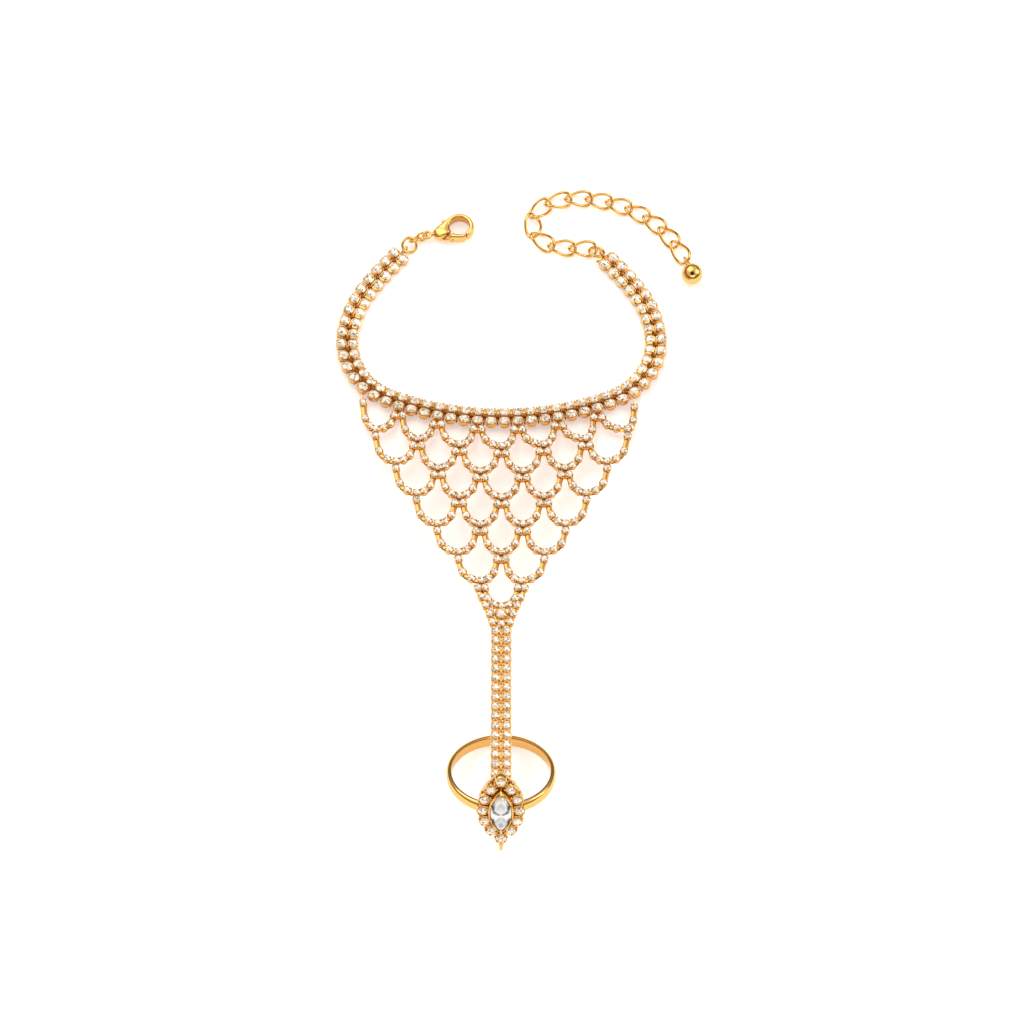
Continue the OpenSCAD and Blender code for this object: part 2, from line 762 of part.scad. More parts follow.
// Closed loop of wire whose centre line rises and falls twice on its way round
module link(n) {
  s = (n - 1) * link_pitch;
  q = chain_xy(s);
  turn = chain_turn(s);
  steps = 16;
  sides = 6;
  function mid(t) = [link_a * cos(t), link_b * sin(t), link_c * sin(2 * t)];
  pts = [for (i = [0:steps - 1]) let (t = 360 * i / steps, p = mid(t),
      d = mid(t + 3) - mid(t - 3), u = d / norm(d), w0 = cross(u, [0, 0, 1]), w = w0 / norm(w0), v = cross(w, u))
    for (j = [0:sides - 1]) p + link_wire * (cos(60 * j) * w + sin(60 * j) * v)];
  faces = [for (i = [0:steps - 1]) for (j = [0:sides - 1]) let (a = i * sides + j,
      b = i * sides + (j + 1) % sides, c = ((i + 1) % steps) * sides + (j + 1) % sides,
      d = ((i + 1) % steps) * sides + j) each [[a, b, c], [a, c, d]]];
  metal()
    translate([q[0], q[1], link_z])
      rotate([0, 0, turn])
        polyhedron(pts, faces);
}
last_s = (link_count - 1) * link_pitch;
module end_ball() {
  turn = chain_turn(last_s) - 12;
  q = ahead(chain_xy(last_s), turn + 12, link_a - 0.02, 0.02);
  metal()
    translate([q[0], q[1], ring_rest(0.95, 60, small_wire)])
      rotate([0, 0, turn]) {
        rotate([-60, 0, 0])
          rotate_extrude($fn = 32)
            translate([0.95, 0])
              circle(r = small_wire, $fn = 16);
        translate([3.5, 0, ball_r - ring_rest(0.95, 60, small_wire)])
          sphere(r = ball_r, $fn = 48);
        translate([1.05, 0, 0])
          rotate([0, 70, 0])
            cylinder(r = 0.42, h = 1.2);
      }
}

half_pair = band_pairs / 2;
band_settings(0, half_pair - 1);  // band_settings_left
band_settings(half_pair, band_pairs - 1);  // band_settings_right
band_stones(0, half_pair - 1);  // band_stones_left
band_stones(half_pair, band_pairs - 1);  // band_stones_right
hand_mesh();
yoke_stone();
stem_settings();
stem_stones();
finger_ring();
marquise_stone();
halo_stone(1);  // halo_stone_1
halo_stone(2);  // halo_stone_2
halo_stone(3);  // halo_stone_3
halo_stone(4);  // halo_stone_4
halo_stone(5);  // halo_stone_5
halo_stone(6);  // halo_stone_6
halo_stone(7);  // halo_stone_7
halo_stone(8);  // halo_stone_8
halo_stone(9);  // halo_stone_9
halo_stone(10);  // halo_stone_10
halo_stone(11);  // halo_stone_11
halo_stone(12);  // halo_stone_12
left_jump_ring();
small_ring_1();
small_ring_2();
clasp_body();
clasp_lever();
right_jump_ring();
link(1);  // link_1
link(2);  // link_2
link(3);  // link_3
link(4);  // link_4
link(5);  // link_5
link(6);  // link_6
link(7);  // link_7
link(8);  // link_8
link(9);  // link_9
link(10);  // link_10
link(11);  // link_11
link(12);  // link_12
link(13);  // link_13
end_ball();
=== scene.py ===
import bpy
import bmesh
import math
import numpy as np
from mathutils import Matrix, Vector


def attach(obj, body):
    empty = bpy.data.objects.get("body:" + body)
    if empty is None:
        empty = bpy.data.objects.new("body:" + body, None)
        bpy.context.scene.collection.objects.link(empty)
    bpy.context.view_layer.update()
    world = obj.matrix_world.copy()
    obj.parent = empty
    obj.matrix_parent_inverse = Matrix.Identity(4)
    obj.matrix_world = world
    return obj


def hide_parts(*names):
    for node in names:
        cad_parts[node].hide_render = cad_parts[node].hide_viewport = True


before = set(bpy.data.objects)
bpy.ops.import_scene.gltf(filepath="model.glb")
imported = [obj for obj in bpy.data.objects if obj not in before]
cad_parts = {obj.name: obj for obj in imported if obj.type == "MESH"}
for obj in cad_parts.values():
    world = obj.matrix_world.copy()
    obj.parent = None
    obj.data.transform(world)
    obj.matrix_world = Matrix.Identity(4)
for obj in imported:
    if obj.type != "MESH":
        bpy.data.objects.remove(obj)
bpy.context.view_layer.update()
print("hand chain: frame loaded")

rng = np.random.default_rng(11)
shift = np.array([-3.51, -0.42, 0.01])  # the solids' own move over the origin, in millimetres


# placing

def turned(axis, degrees):
    # rotation matrices about a main axis, one for each angle given
    a = np.radians(np.asarray(degrees, float))
    i, j = {"x": (1, 2), "y": (2, 0), "z": (0, 1)}[axis]
    m = np.zeros(a.shape + (4, 4))
    m[..., range(4), range(4)] = 1
    m[..., i, i], m[..., j, j], m[..., i, j], m[..., j, i] = np.cos(a), np.cos(a), -np.sin(a), np.sin(a)
    return m


def moved(points):
    # matrices that carry the origin to each point
    p = np.asarray(points, float)
    if p.shape[-1] == 2:
        p = np.concatenate([p, np.zeros(p.shape[:-1] + (1,))], -1)
    m = np.zeros(p.shape[:-1] + (4, 4))
    m[..., range(4), range(4)] = 1
    m[..., :3, 3] = p
    return m


def curveThrough(points, steps):
    # smooth curve through the points: each span is a cubic of its four nearest points
    p = np.asarray(points, float)
    q = np.vstack([2 * p[0] - p[1], p, 2 * p[-1] - p[-2]])
    a, b, c, d = (q[i:len(q) - 3 + i, None] for i in range(4))
    t = (np.arange(steps) / steps)[None, :, None]
    line = 0.5 * (2 * b + (c - a) * t + (2 * a - 5 * b + 4 * c - d) * t ** 2 + (3 * b - 3 * c + d - a) * t ** 3)
    return np.vstack([line.reshape(-1, p.shape[1]), p[-1]])


def runningLength(line):
    return np.concatenate([[0], np.cumsum(np.linalg.norm(np.diff(line, axis=0), axis=1))])


def alongLine(line, s):
    # the point of a line at each running length
    reach = runningLength(line)
    return np.stack([np.interp(s, reach, line[:, k]) for k in range(line.shape[1])], -1)


def heading(v):
    return np.degrees(np.arctan2(v[..., 1], v[..., 0]))


def ahead(q, turn, d, left=0.0):
    # a point so far ahead of q in the direction turn, and so far to its left
    a = math.radians(turn)
    return np.array([q[0] + d * math.cos(a) - left * math.sin(a), q[1] + d * math.sin(a) + left * math.cos(a)])


# shapes: points, faces by their number of corners, and how much painted shade each point carries

def shape(points, faces, deep=0.0):
    v = np.asarray(points, float).reshape(-1, 3)
    return {"v": v, "f": {k: np.asarray(f, int).reshape(-1, k) for k, f in faces.items() if len(f)},
            "deep": np.broadcast_to(np.asarray(deep, float), (len(v),)).copy()}


def together(*parts):
    # one shape from several
    v, f, deep, start = [], {}, [], 0
    for p in parts:
        for k, a in p["f"].items():
            f.setdefault(k, []).append(a + start)
        v.append(p["v"])
        deep.append(p["deep"])
        start += len(p["v"])
    return {"v": np.vstack(v), "f": {k: np.vstack(a) for k, a in f.items()}, "deep": np.concatenate(deep)}


def copies(part, places):
    # the shape once at each matrix
    m = np.asarray(places, float).reshape(-1, 4, 4)
    v = np.einsum("mij,nj->mni", m[:, :3, :3], part["v"]) + m[:, None, :3, 3]
    starts = np.arange(len(m))[:, None, None] * len(part["v"])
    return {"v": v.reshape(-1, 3), "f": {k: (a[None] + starts).reshape(-1, k) for k, a in part["f"].items()},
            "deep": np.tile(part["deep"], len(m))}


def gridFaces(rows, columns, closeRows=False, closeColumns=True):
    # four-cornered faces between neighbouring rows and columns of points
    i = np.arange(rows if closeRows else rows - 1)[:, None]
    j = np.arange(columns if closeColumns else columns - 1)[None, :]
    a, b = i % rows * columns, (i + 1) % rows * columns
    c, d = j % columns, (j + 1) % columns
    return np.stack([a + c, a + d, b + d, b + c], -1).reshape(-1, 4)


def lathe(profile, sides, square=0.0, start=0.5, deep=None):
    # rows of radius, height and squareness turned about z: x = r k cos t, y = r k sin t,
    # where k grows towards the corners of a rounded square; ends with no radius close in a point
    p = np.array([(row + (square,))[:3] if len(row) < 3 else row for row in profile], float)
    t = 2 * np.pi * (np.arange(sides) + start) / sides
    corner = 1 / (np.abs(np.cos(t)) ** 3 + np.abs(np.sin(t)) ** 3) ** (1 / 3)
    k = 1 + p[:, 2:3] * (corner[None] - 1)
    ringRows = [i for i in range(len(p)) if p[i, 0] > 0]
    q = p[ringRows]
    r = q[:, :1] * k[ringRows]
    pts = np.stack([r * np.cos(t), r * np.sin(t), np.broadcast_to(q[:, 1:2], r.shape)], -1).reshape(-1, 3)
    rows, n = len(ringRows), len(pts)
    tris, extra = [], []
    j = np.arange(sides)
    for end, row, flip in ((0, 0, 1), (-1, rows - 1, 0)):
        if p[end, 0] <= 0:
            pole = n + len(extra)
            extra.append([0, 0, p[end, 1]])
            a, b = row * sides + j, row * sides + (j + 1) % sides
            tris.append(np.stack([b if flip else a, a if flip else b, np.full(sides, pole)], -1))
    if extra:
        pts = np.vstack([pts, extra])
    out = shape(pts, {4: gridFaces(rows, sides), 3: np.vstack(tris) if tris else []})
    # a height range darkens the points with painted shade, fully at its low end and not at all at its high end
    if deep is not None:
        out["deep"] = np.clip((deep[1] - out["v"][:, 2]) / (deep[1] - deep[0]), 0, 1)
    return out


def tube(path, radius, sides, closed=False, up=(0, 0, 1), rounded=True):
    # a section carried along a path: point + w a cos t + v b sin t, with w level and v square to both
    p, r = np.asarray(path, float), np.asarray(radius, float)
    r = np.broadcast_to(r if r.ndim == 2 else r.reshape(-1, 1), (len(p), 2)).copy()
    d = np.roll(p, -1, 0) - np.roll(p, 1, 0)
    if not closed:
        d[0], d[-1] = p[1] - p[0], p[-1] - p[-2]
        if rounded:  # a half ball at each end
            a = np.radians([66, 33])
            first = p[0] - d[0] / np.linalg.norm(d[0]) * (r[0].mean() * np.sin(a))[:, None]
            last = p[-1] + d[-1] / np.linalg.norm(d[-1]) * (r[-1].mean() * np.sin(a[::-1]))[:, None]
            r = np.vstack([r[0] * np.cos(a)[:, None], r, r[-1] * np.cos(a[::-1])[:, None]])
            p, d = np.vstack([first, p, last]), np.vstack([d[[0, 0]], d, d[[-1, -1]]])
    d /= np.linalg.norm(d, axis=1, keepdims=True)
    w = np.cross(d, np.asarray(up, float))
    w /= np.linalg.norm(w, axis=1, keepdims=True)
    v = np.cross(w, d)
    t = 2 * np.pi * np.arange(sides) / sides
    pts = (p[:, None] + w[:, None] * (r[:, None, :1] * np.cos(t)[None, :, None])
           + v[:, None] * (r[:, None, 1:] * np.sin(t)[None, :, None]))
    n = len(p)
    faces = {4: gridFaces(n, sides, closed)}
    if not closed:
        faces[sides] = np.array([np.arange(sides), (n - 1) * sides + np.arange(sides)[::-1]])
    return shape(pts.reshape(-1, 3), faces)


def outward(outline):
    # level unit normals of a closed counter-clockwise outline
    side = np.roll(outline, -1, 0) - np.roll(outline, 1, 0)
    out = np.stack([side[:, 1], -side[:, 0]], -1)
    return out / np.linalg.norm(out, axis=1, keepdims=True)


def slab(outline, levels):
    # a flat body: the outline drawn in or out at each level, closed by a point in the middle of each end
    o = np.asarray(outline, float)
    out = outward(o)
    pts = np.vstack([np.column_stack([o + out * grow, np.full(len(o), z)]) for z, grow in levels])
    n, rows, mid = len(o), len(levels), o.mean(0)
    pts = np.vstack([pts, [*mid, levels[0][0]], [*mid, levels[-1][0]]])
    j = np.arange(n)
    k = (j + 1) % n
    top = (rows - 1) * n
    tris = np.vstack([np.stack([k, j, np.full(n, rows * n)], -1),
                      np.stack([top + j, top + k, np.full(n, rows * n + 1)], -1)])
    return shape(pts, {4: gridFaces(rows, n), 3: tris})


def roundWire(radius, wire, steps=40, sides=10, gap=0.0):
    # a ring of round wire in the level plane; a gap leaves a fine seam where its ends meet
    if gap:
        t = np.linspace(gap / radius / 2, 2 * np.pi - gap / radius / 2, steps)
    else:
        t = 2 * np.pi * np.arange(steps) / steps
    circle = np.stack([radius * np.cos(t), radius * np.sin(t), 0 * t], -1)
    return tube(circle, wire, sides, closed=not gap, rounded=False)


def ball(radius, sides=16, rows=8):
    a = np.linspace(-90, 90, rows + 1)
    return lathe([(max(radius * math.cos(math.radians(x)), 0) if abs(x) < 90 else 0,
                   radius * math.sin(math.radians(x))) for x in a], sides)


def addPiece(name, part, body, nodes, material, flat=False, faceColour=None, sharp=38):
    # puts a shape, worked out in millimetres, into one object that rides on a body
    sizes = sorted(part["f"])
    count = sum(len(part["f"][k]) for k in sizes)
    mesh = bpy.data.meshes.new(name)
    v = (part["v"] + shift) * 0.001
    mesh.from_pydata(v.tolist(), [], [f for k in sizes for f in part["f"][k].tolist()])
    # each point's painted shade goes to the material as an attribute; stones take a colour per facet instead
    if faceColour is None:
        deep = mesh.attributes.new("deep", "FLOAT", "POINT")
        deep.data.foreach_set("value", part["deep"].astype(np.float32))
    else:
        colour = mesh.attributes.new("facet", "FLOAT_COLOR", "FACE")
        rgba = np.concatenate([faceColour, np.ones((count, 1))], 1)
        colour.data.foreach_set("color", rgba.astype(np.float32).ravel())
    work = bmesh.new()
    work.from_mesh(mesh)
    bmesh.ops.recalc_face_normals(work, faces=work.faces)
    work.to_mesh(mesh)
    work.free()
    mesh.polygons.foreach_set("use_smooth", [not flat] * count)
    mesh.update()
    if not flat:
        mesh.set_sharp_from_angle(angle=math.radians(sharp))
    item = bpy.data.objects.new(name, mesh)
    bpy.context.scene.collection.objects.link(item)
    mesh.materials.append(material)
    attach(item, body)
    if nodes:
        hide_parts(*nodes)
    print("hand chain: made", name, count, "faces")


# materials

class Signal:
    # one shader value; sums and products of signals add their own Math nodes
    def __init__(self, tree, socket=None):
        self.tree, self.socket = tree, socket

    def node(self, kind, settings=None, inputs=None, out=0):
        n = self.tree.nodes.new(kind)
        for key, value in (settings or {}).items():
            if key == "stops":
                ramp = n.color_ramp
                while len(ramp.elements) < len(value):
                    ramp.elements.new(0.5)
                for e, (at, colour) in zip(ramp.elements, value):
                    e.position, e.color = at, (*colour, 1)
            else:
                setattr(n, key, value)
        for key, value in (inputs or {}).items():
            if isinstance(value, Signal):
                self.tree.links.new(value.socket, n.inputs[key])
            else:
                n.inputs[key].default_value = value
        return Signal(self.tree, n.outputs[out])

    def math(self, operation, a, b):
        return self.node("ShaderNodeMath", {"operation": operation}, {0: a, 1: b})

    def __add__(self, other): return self.math("ADD", self, other)
    def __radd__(self, other): return self.math("ADD", other, self)
    def __sub__(self, other): return self.math("SUBTRACT", self, other)
    def __rsub__(self, other): return self.math("SUBTRACT", other, self)
    def __mul__(self, other): return self.math("MULTIPLY", self, other)
    def __rmul__(self, other): return self.math("MULTIPLY", other, self)


def freshMaterial(name, preview):
    m = bpy.data.materials.new(name)
    m.use_nodes = True
    m.diffuse_color = (*preview, 1)
    m.node_tree.nodes.clear()
    return m, Signal(m.node_tree)


def finishMaterial(m, start, settings):
    shader = start.node("ShaderNodeBsdfPrincipled", {}, settings)
    output = m.node_tree.nodes.new("ShaderNodeOutputMaterial")
    m.node_tree.links.new(shader.socket, output.inputs["Surface"])
    return m


# the second colour is painted shade: a darker, redder gold for hollows, undersides and the walls of settings
goldLook = {"light": (0.85, 0.525, 0.17), "deep": (0.5, 0.165, 0.03), "mottle": 0.12, "cloud": 0.05,
            "cloudScale": 420.0, "grainScale": 5200.0, "grain": 0.0000025, "grainStrength": 0.5}


def goldMaterial(name, roughness, paintedShadeWeight, dim=1.0):
    # polished plating: a slow cloudiness in the gloss, a faint polishing grain, and a redder, darker
    # yellow painted as shade down in the settings and hollows; dim darkens both colours as painted shade
    look = goldLook
    lightColour, paintedShadeColour = ((*(dim * v for v in look[key]), 1) for key in ("light", "deep"))
    m, s = freshMaterial(name, look["light"])
    where = s.node("ShaderNodeTexCoord", {}, {}, "Object")
    cloud = s.node("ShaderNodeTexNoise", {}, {"Vector": where, "Scale": look["cloudScale"], "Detail": 3.0}, 0)
    grain = s.node("ShaderNodeTexNoise", {}, {"Vector": where, "Scale": look["grainScale"], "Detail": 1.0}, 0)
    deep = s.node("ShaderNodeAttribute", {"attribute_name": "deep"}, {}, "Fac")
    colour = s.node("ShaderNodeMix", {"data_type": "RGBA"},
                    {0: deep * paintedShadeWeight + (cloud - 0.5) * look["mottle"], 6: lightColour, 7: paintedShadeColour}, 2)
    normal = s.node("ShaderNodeBump", {}, {"Strength": look["grainStrength"], "Distance": look["grain"],
                                           "Height": grain}, "Normal")
    return finishMaterial(m, s, {"Base Color": colour, "Metallic": 1.0, "Normal": normal,
                                 "Roughness": (cloud - 0.5) * look["cloud"] + roughness})


# the bluish colour mixed in by a cloud is painted cool shade
stoneLook = {"preview": (0.93, 0.93, 0.95), "cloudScale": 1500.0, "paintedCoolShade": (0.82, 0.86, 0.96, 1), "paintedCoolShadeShare": 0.25,
             "metallic": 0.25, "roughness": 0.02, "cloud": 0.06, "coatRoughness": 0.02, "index": 1.45,
             "coatIndex": 0.45}


def stoneMaterial(name, coat, glow):
    # clear cut stone on a foil back: each facet has its own painted share of light, under a hard gloss, with cloudy
    # patches of painted bluish shade and a faint emission that paints extra brightness in
    look = stoneLook
    m, s = freshMaterial(name, look["preview"])
    where = s.node("ShaderNodeTexCoord", {}, {}, "Object")
    cloud = s.node("ShaderNodeTexNoise", {}, {"Vector": where, "Scale": look["cloudScale"], "Detail": 1.0}, 0)
    facet = s.node("ShaderNodeAttribute", {"attribute_name": "facet"}, {}, "Color")
    colour = s.node("ShaderNodeMix", {"data_type": "RGBA", "blend_type": "MULTIPLY"},
                    {0: cloud * look["paintedCoolShadeShare"], 6: facet, 7: look["paintedCoolShade"]}, 2)
    return finishMaterial(m, s, {"Base Color": colour, "Metallic": look["metallic"],
                                 "Roughness": cloud * look["cloud"] + look["roughness"],
                                 "IOR": look["index"] + look["coatIndex"] * coat, "Coat Weight": coat,
                                 "Coat Roughness": look["coatRoughness"], "Emission Color": colour,
                                 "Emission Strength": glow})


# the chain and rings take half their painted shade, the settings all of it, the ring and clasp a little more than
# half; the gap discs are gold dimmed to stand for shadow; the stones' last number is a faint painted glow
gold = goldMaterial("polishedGold", 0.13, 0.5)
goldCups = goldMaterial("polishedGoldSettings", 0.16, 1.0)
goldGapShadow = goldMaterial("paintedShadowGoldGaps", 0.42, 1.0, 0.62)
goldShadedHollows = goldMaterial("polishedGoldShadedHollows", 0.12, 0.6)
crystal = stoneMaterial("foiledCrystal", 0.5, 0.12)
largeCrystal = stoneMaterial("foiledCrystalLarge", 0.15, 0.1)
print("hand chain: materials made")


# cut stones and their cups

cut = {"crown": 0.34, "dome": 0.9, "table": 0.54, "star": 0.77, "starHeight": 0.6, "girdle": 0.04, "pavilion": 0.5}
facetLook = {"dim": 0.12, "half": 0.42, "halfShare": 0.17, "soft": 0.75, "softShare": 0.36,
             "rose": (1.0, 0.83, 0.74), "straw": (1.0, 0.88, 0.64), "strawFrom": 0.7, "plain": (1.0, 0.95, 0.88),
             "metal": (1.0, 0.78, 0.45)}


def brilliant(r, square=0.0):
    # round or cushion cut: a table split into eight shallow facets, then eight star, eight
    # kite and sixteen upper facets, a girdle at height 0, and sixteen long facets below
    a = np.radians(45 * np.arange(8))
    b, g = a + math.radians(22.5), np.radians(22.5 * np.arange(16))
    crown = r * cut["crown"]

    def corners(angles, radius, z):
        c, d = np.cos(angles), np.sin(angles)
        k = radius * (1 + square * ((np.abs(c) ** 3 + np.abs(d) ** 3) ** (-1 / 3) - 1))
        return np.stack([k * c, k * d, np.full(len(angles), z)], -1)

    v = np.vstack([[[0, 0, crown * cut["dome"]]], corners(a, cut["table"] * r, crown),
                   corners(b, cut["star"] * r, crown * cut["starHeight"]), corners(g, r, cut["girdle"] * r),
                   corners(g, r, -cut["girdle"] * r), [[0, 0, -cut["pavilion"] * r]]])
    table, star, upper, lower, keel = 1, 9, 17, 33, 49  # where each row of points starts
    i, k = np.arange(8), np.arange(16)
    n, m = (i + 1) % 8, (k + 1) % 16
    low = upper + 2 * i
    tris = np.vstack([np.stack([0 * i, table + i, table + n], -1), np.stack([table + i, star + i, table + n], -1),
                      np.stack([star + i, low, low + 1], -1), np.stack([star + i, low + 1, upper + 2 * n], -1),
                      np.stack([lower + k, np.full(16, keel), lower + m], -1)])
    quads = np.vstack([np.stack([table + i, star + (i - 1) % 8, low, star + i], -1),
                       np.stack([upper + k, lower + k, lower + m, upper + m], -1)])
    return shape(v, {3: tris, 4: quads})


def facetColours(part, dark=0.08, warm=0.35, rim=0.5):
    # painted reflections: how much light each facet of each stone throws back: most white, some rose or
    # straw, a few dark, and the outer ones tinted with a painted reflection of the gold beside them; faces come
    # sorted by their number of corners, and of a stone's 48 triangles the first 16 lie inside
    look, tones = facetLook, []
    rose, straw, plain, metal = (np.array(look[key]) for key in ("rose", "straw", "plain", "metal"))
    for k in sorted(part["f"]):
        n = len(part["f"][k])
        x, tint = rng.random(n), rng.random(n)
        level = np.select([x < dark, x < dark + look["halfShare"], x < dark + look["softShare"]],
                          [look["dim"], look["half"], look["soft"]], 1.0)
        c = np.where((tint < warm)[:, None], rose, np.where((tint > look["strawFrom"])[:, None], straw, plain))
        outside = (np.arange(n) % 48 >= 16) | (k == 4)
        share = (outside * rng.uniform(0.2, 1, n) * rim)[:, None]
        tones.append(c * level[:, None] * (1 - share) + metal * share)
    return np.vstack(tones)


def cup(c):
    # rounded-square cup with a floor, a thin lip and four prongs that lean over the stone; painted shade grows from
    # the lip down to the floor, on the prongs as well
    low, top, r = c["low"], c["top"], c["r"]
    h = top - low
    lip = top - 0.34 * c["rise"]
    body = lathe([(0, low), (0.74 * r, low, 0), (0.9 * r, low + 0.1 * h, 0.3), (0.96 * r, low + 0.4 * h, 0.8),
                  (r, lip - 0.06, 1), (0.97 * r, lip, 1), (0.88 * r, lip, 0.8), (0.84 * r, lip - 0.12, 0.5),
                  (0.4 * r, lip - 0.3 * h, 0), (0, lip - 0.34 * h, 0)], c["sides"], deep=(low, lip))
    out = c["corner"] * r
    prong = tube([[out, 0, low + 0.3 * h], [out, 0, lip - 0.04], [out * 0.95, 0, top - 0.14 * c["rise"]],
                  [out * 0.86, 0, top - 0.02 * c["rise"]]],
                 [c["prong"], c["prong"], c["prong"], c["prong"] * 0.8], c["prongSides"], up=(0, 1, 0))
    prong["deep"] = np.maximum(np.clip((lip - prong["v"][:, 2]) / (lip - low), 0, 1) * 0.8, c["prongShade"])
    return together(body, copies(prong, turned("z", [45, 135, 225, 315])))


# wrist band

band = {"pairs": 48, "pitch": 2.56, "rows": 2.3, "hub": (0, 19.75), "lean": 14.0, "leanHalf": 29.0,
        "leanFade": 18.0, "eyeHeight": 0.75, "cupRadius": 1.07, "low": -0.75, "top": 0.85, "stone": 0.95,
        "seat": 0.27, "square": 0.9, "spin": 4.0, "shade": 0.55, "loop": 0.72, "loopWire": 0.2, "loopOut": 0.6,
        "loopUp": 0.97, "bars": ((1, 0.7, 0.23, 0.0), (-1, 0.3, 0.15, 0.55))}  # side, height, radius, painted shade
bandRoute = [[-19.6, 57.6], [-24.6, 51.6], [-28.6, 45.0], [-30.3, 37.4], [-28.9, 30.9], [-24.6, 25.6],
             [-17.6, 22.5], [-9, 20.45], [0, 19.75], [9, 20.45], [17.6, 22.5], [24.6, 25.6], [28.9, 30.9],
             [30.2, 37.4], [28.5, 45.0], [24.9, 50.9], [20.3, 56.4]]


def bandTilt(s):
    # full lean along the front, then less by t * t * (3 - 2 t) until the sides lie level
    t = np.clip((np.abs(s - band["pairs"] * band["pitch"] / 2) - band["leanHalf"]) / band["leanFade"], 0, 1)
    return band["lean"] * (1 - t * t * (3 - 2 * t))


bandLine = curveThrough(bandRoute, 10)
hub = np.array(band["hub"])
grow = band["pairs"] * band["pitch"] / runningLength(bandLine)[-1]
half = band["rows"] / 2
pinAt = np.arange(band["pairs"] + 1) * band["pitch"]
tiltAt = np.radians(bandTilt(pinAt))
pins = np.column_stack([hub + grow * (alongLine(bandLine, pinAt / grow) - hub),
                        band["eyeHeight"] * np.cos(tiltAt) + (half + band["cupRadius"]) * np.sin(tiltAt)])
pairMid = (pins[:-1] + pins[1:]) / 2
pairStep = pins[1:] - pins[:-1]
pairTurn = heading(pairStep)
pairRise = np.degrees(np.arcsin(pairStep[:, 2] / np.linalg.norm(pairStep, axis=1)))
pairTilt = bandTilt((np.arange(band["pairs"]) + 0.5) * band["pitch"])
pairPlaces = moved(pairMid) @ turned("z", pairTurn) @ turned("y", -pairRise) @ turned("x", -pairTilt)
toSide = np.column_stack([np.sin(np.radians(pairTurn)), -np.cos(np.radians(pairTurn))])
outerCup = pairMid[:, :2] + (half * np.cos(np.radians(pairTilt)))[:, None] * toSide

bandCup = cup({"r": band["cupRadius"], "low": band["low"], "top": band["top"], "rise": 1.0, "sides": 16,
               "corner": 0.97, "prong": 0.15, "prongSides": 6, "prongShade": 0.0})
toNext = band["pitch"] / 2
# folded strips under the cups, the rounded bars that join a pair to the next one, and the
# plug where four cups meet; the strips, the plug and the lower bar carry painted shade, and a dimmed disc in the
# hollow is painted shadow
strips = [tube([[0, -0.9, -0.2], [0, 0.9, -0.2]], [[0.3, 0.42]], 8),
          tube([[-1.2, 0, -0.05], [1.2, 0, -0.05]], [[0.3, 0.24]], 8)]
bars = []
for side, z, wide, deep in band["bars"]:
    bars.append(tube([[toNext, side * 0.6, z - 0.3], [toNext, side * 0.75, z], [toNext, side * 1.6, z],
                      [toNext, side * 1.85, z - 0.25]], wide, 6))
    bars[-1]["deep"] += deep
plug = copies(lathe([(0, -0.42), (0.6, -0.42), (0.56, 0.1), (0, 0.1)], 8), moved([[toNext, 0, 0]]))
for q in (*strips, plug):
    q["deep"] += band["shade"]
gapShadowDisc = copies(lathe([(0, -0.3), (0.42, -0.3), (0.4, 0.5), (0.28, 0.46), (0, 0.44)], 6), moved([[toNext, 0, 0]]))
gapShadowDisc["deep"] += 1
bandPair = together(copies(bandCup, moved([[0, half, 0], [0, -half, 0]])), *strips, *bars, plug)
parts, endLoops = [copies(bandPair, pairPlaces)], []
for i, side in ((0, -1), (band["pairs"] - 1, 1)):  # the loops that hold the jump rings
    q = ahead(pairMid[i], pairTurn[i], side * (toNext + band["loopOut"]))
    loop = copies(roundWire(band["loop"], band["loopWire"]), turned("x", 90))
    stub = tube([[-side * 1.6, 0, -0.2], [-side * 0.72, 0, -0.05]], [[0.3, 0.26]], 8)
    parts.append(copies(together(loop, stub), moved([q[0], q[1], band["loopUp"]]) @ turned("z", pairTurn[i])))
    endLoops.append(q)

# net and stem share one sloping plane, from the band down to the ring's last pin

panel = {"y": 19.0, "z": 1.5, "stemTop": -49.73, "stemPairs": 15, "stemPitch": 2.11, "stemRows": 2.06}
ring = {"bore": 9.0, "wall": 1.05, "width": 2.2, "headHalf": 9.7, "headSunk": 0.45, "pinUp": 6.47, "pinOut": 8.75,
        "around": 144, "across": 20}
ringReach = ring["bore"] + ring["wall"]
headBack = ringReach - ring["headSunk"]
lean = math.degrees(math.atan((ring["headHalf"] - ring["width"] / 2) / (ringReach + headBack)))
leanSin, leanCos = math.sin(math.radians(lean)), math.cos(math.radians(lean))
ringZ = ringReach * leanSin + ring["width"] / 2 * leanCos
pinZ = ringZ + ring["pinUp"] * leanCos + ring["pinOut"] * leanSin
stemEnd = panel["stemTop"] - (panel["stemPairs"] + 0.5) * panel["stemPitch"]
slope = math.degrees(math.asin((pinZ - panel["z"]) / -stemEnd))
slopeCos = math.cos(math.radians(slope))
onPanel = moved([0, panel["y"], panel["z"]]) @ turned("x", -slope)
ringY = panel["y"] + stemEnd * slopeCos + ring["pinOut"] * leanCos - ring["pinUp"] * leanSin
onRing = moved([0, ringY, ringZ]) @ turned("x", -lean)
onHead = onRing @ moved([0, -headBack, 0]) @ turned("x", 90)

net = {"rows": 7, "pitch": 8.05, "cupRadius": 0.82, "low": -0.5, "top": 0.7, "stone": 0.71, "seat": 0.2,
       "firstPair": 13, "everyPair": 3, "pairSide": 0.8, "lastSide": 0.66, "lastShare": 0.93, "drop": 1.75,
       "rowY": [0, -8.04, -14.05, -20.2, -26.65, -33.2, -39.85], "bow": [0, 0.0071, 0.0058, 0.0036, 0.001, 0, 0],
       "lastY": -44.0, "turns": [0, 36, 64, 90], "under": -0.12, "wire": (0.58, 0.36), "wireShade": 0.4,
       "strut": (0.62, 0.34), "tie": (0.55, 0.34)}


def hangerCup(k):
    return outerCup[net["firstPair"] + net["everyPair"] * k]


